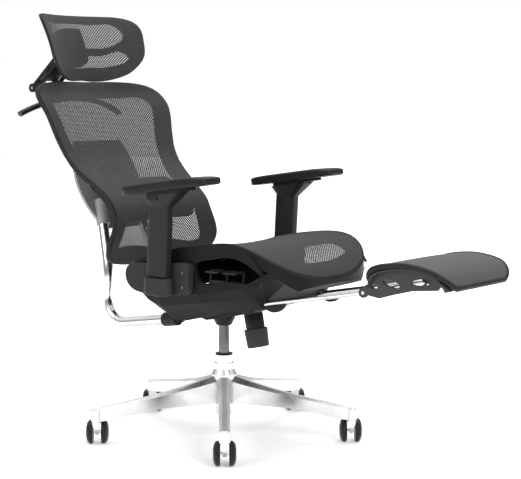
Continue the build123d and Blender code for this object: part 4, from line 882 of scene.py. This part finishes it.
def make_hub_caps():
    """A domed cap with a raised lip in the outer face of each caster wheel."""
    rows = [(15.5 * MM, -0.2 * MM), (15.2 * MM, 0.5 * MM), (14.2 * MM, 0.9 * MM), (13.4 * MM, 0.5 * MM),
            (12.6 * MM, 0.25 * MM), (9 * MM, 0.7 * MM), (5 * MM, 1.0 * MM), (1 * MM, 1.1 * MM)]
    for number in range(1, 6):
        for side in "ab":
            body = f"wheel_{side}_{number}"
            joint = JOINTS[f"{body}_spin"]
            points = node_points(f"caster_wheel_{side}_{number}")
            centre = (points.min(0) + points.max(0)) / 2
            axis = unit(np.array(joint["axis"], float))
            fork = node_points(f"caster_fork_{number}")
            axis = axis * np.sign((centre - (fork.min(0) + fork.max(0)) / 2) @ axis)
            face = np.abs((points - centre) @ axis).max()
            cap, cells = turned_arrays(rows, centre + face * axis, axis, segments=40)
            make_piece(f"hub_cap_{side}_{number}", cap, cells, M["cast"], body, sharp=60)


def make_column_trims():
    """A rubber boot round the knob's neck, open below, and a black lip ring where the column leaves its tube;
    the ring is partly a real trim and partly a painted dark line of shade at the tube's top.
    """
    lean = math.radians(KNOB_LEAN)
    axis = np.array([0, math.sin(lean), math.cos(lean)])
    rows = [(23.3 * MM, -2 * MM), (23.3 * MM, -32.4 * MM), (24.2 * MM, -32 * MM), (24.2 * MM, 2 * MM),
            (23.7 * MM, 3 * MM), (24.2 * MM, 4 * MM), (24.2 * MM, 20 * MM), (22 * MM, 22 * MM)]
    points, faces = turned_arrays(rows, KNOB_TOP, axis, segments=48)
    make_piece("knob_boot", points, outward(points, faces), M["cast"], "seat", sharp=40)
    # lip ring: a black trim that also paints the dark line of shade at the top of the polished tube
    rows = [(22.2 * MM, 0), (22.6 * MM, 1 * MM), (22.6 * MM, 3.4 * MM), (21.6 * MM, 4.4 * MM),
            (16 * MM, 4.6 * MM), (14.6 * MM, 3.6 * MM), (14.6 * MM, 1 * MM)]
    points, faces = turned_arrays(rows, (0, 0, TUBE_TOP - 3.5 * MM), (0, 0, 1), segments=64)
    make_piece("tube_lip", points, outward(points, faces), M["cast"], "base", sharp=40)


# ----------------------------------------------------------------------------- stage
def make_camera():
    """A long lens with its depth of field off, aimed by yaw and pitch from the line to the column."""
    data = bpy.data.cameras.new("camera")
    data.lens = CAMERA_LENS
    data.sensor_width = 36.0
    camera = bpy.data.objects.new("camera", data)
    bpy.context.scene.collection.objects.link(camera)
    back = Vector((math.sin(CAMERA_TURN), -math.cos(CAMERA_TURN), 0))
    right = Vector((math.cos(CAMERA_TURN), math.sin(CAMERA_TURN), 0))
    level = -back * math.cos(CAMERA_YAW) + right * math.sin(CAMERA_YAW)
    ahead = level * math.cos(CAMERA_PITCH) - Vector((0, 0, math.sin(CAMERA_PITCH)))
    camera.location = back * CAMERA_DISTANCE + Vector((0, 0, CAMERA_HEIGHT))
    camera.rotation_mode = "QUATERNION"
    camera.rotation_quaternion = ahead.to_track_quat("-Z", "Y")
    bpy.context.scene.camera = camera


def add_lamp(name, place, target, size, watts):
    """A round softbox at a place, turned to its target."""
    data = bpy.data.lights.new(name, "AREA")
    data.shape = "DISK"
    data.size = size
    data.energy = watts
    lamp = bpy.data.objects.new(name, data)
    bpy.context.scene.collection.objects.link(lamp)
    lamp.location = place
    lamp.rotation_mode = "QUATERNION"
    lamp.rotation_quaternion = (Vector(target) - Vector(place)).to_track_quat("-Z", "Y")


def seen_background(tree):
    """1 for rays that should meet the white background: those of the camera, of gloss and of glass."""
    path = tree.nodes.new("ShaderNodeLightPath")
    direct = maths(tree, "MAXIMUM", path.outputs["Is Camera Ray"], path.outputs["Is Glossy Ray"])
    return maths(tree, "MAXIMUM", direct, path.outputs["Is Transmission Ray"])


def make_world():
    """White studio; the walls that polished parts mirror are darker than its ceiling, as unlit walls are."""
    world = bpy.data.worlds.new("studio")
    bpy.context.scene.world = world
    world.use_nodes = True
    tree = world.node_tree
    background = tree.nodes["Background"]
    background.inputs["Color"].default_value = (1, 1, 1, 1)
    strength = between(tree, seen_background(tree), SOFT_LEVEL, 1.0)
    place = add(tree, "TexCoord")
    split = add(tree, "SeparateXYZ")
    link(tree, place.outputs["Generated"], split.inputs[0])
    walls = between(tree, smooth_step(tree, split.outputs[2], WALL_LOW, WALL_HIGH), WALL_LEVEL, 1.0)
    gloss = tree.nodes.new("ShaderNodeLightPath").outputs["Is Glossy Ray"]
    shade = maths(tree, "ADD", maths(tree, "MULTIPLY", gloss, walls), maths(tree, "SUBTRACT", 1.0, gloss))
    link(tree, maths(tree, "MULTIPLY", strength, shade), background.inputs["Strength"])


def make_floor():
    """Pale floor, with a little light of its own that brings it up to the white background.

    Only the rays that meet the background see that light. Away from the chair, where the lamps don't
    reach, it rises to full white, so no horizon shows."""
    material, tree, shader = new_material("pale_floor")
    shader.inputs["Base Color"].default_value = (0.92, 0.92, 0.92, 1)
    shader.inputs["Roughness"].default_value = 0.9
    shader.inputs["Specular IOR Level"].default_value = 0.1
    shader.inputs["Emission Color"].default_value = (1, 1, 1, 1)
    place = add(tree, "TexCoord")
    away = add(tree, "VectorMath", operation="LENGTH")
    link(tree, place.outputs["Object"], away.inputs[0])
    rise = between(tree, smooth_step(tree, away.outputs["Value"], FLOOR_NEAR, FLOOR_FAR), FLOOR_LIFT, 1.0)
    link(tree, maths(tree, "MULTIPLY", seen_background(tree), rise), shader.inputs["Emission Strength"])
    mesh = bpy.data.meshes.new("floor")
    corners = [(-1, -1), (1, -1), (1, 1), (-1, 1)]
    mesh.from_pydata([(x * FLOOR_REACH, y * FLOOR_REACH, 0) for x, y in corners], [], [(0, 1, 2, 3)])
    mesh.materials.append(material)
    floor = bpy.data.objects.new("floor", mesh)
    bpy.context.scene.collection.objects.link(floor)


def make_stage():
    """Camera, surroundings, floor and lamps."""
    make_camera()
    make_world()
    make_floor()
    for lamp in LAMPS:
        add_lamp(*lamp)


# ----------------------------------------------------------------------------- all together
finish_nodes()
make_cloths()
make_footrest_pad()
for arm_side, outward_x in (("left", 1), ("right", -1)):
    make_arm_pad(arm_side)
    make_arm_sleeve(arm_side)
    make_screws(arm_side, outward_x)
make_cable("height_cable", *HEIGHT_CABLE_Y)
make_cable("tilt_cable", *TILT_CABLE_Y)
make_hub_caps()
make_column_trims()
make_stage()

scene = bpy.context.scene
scene.view_settings.view_transform = "Standard"
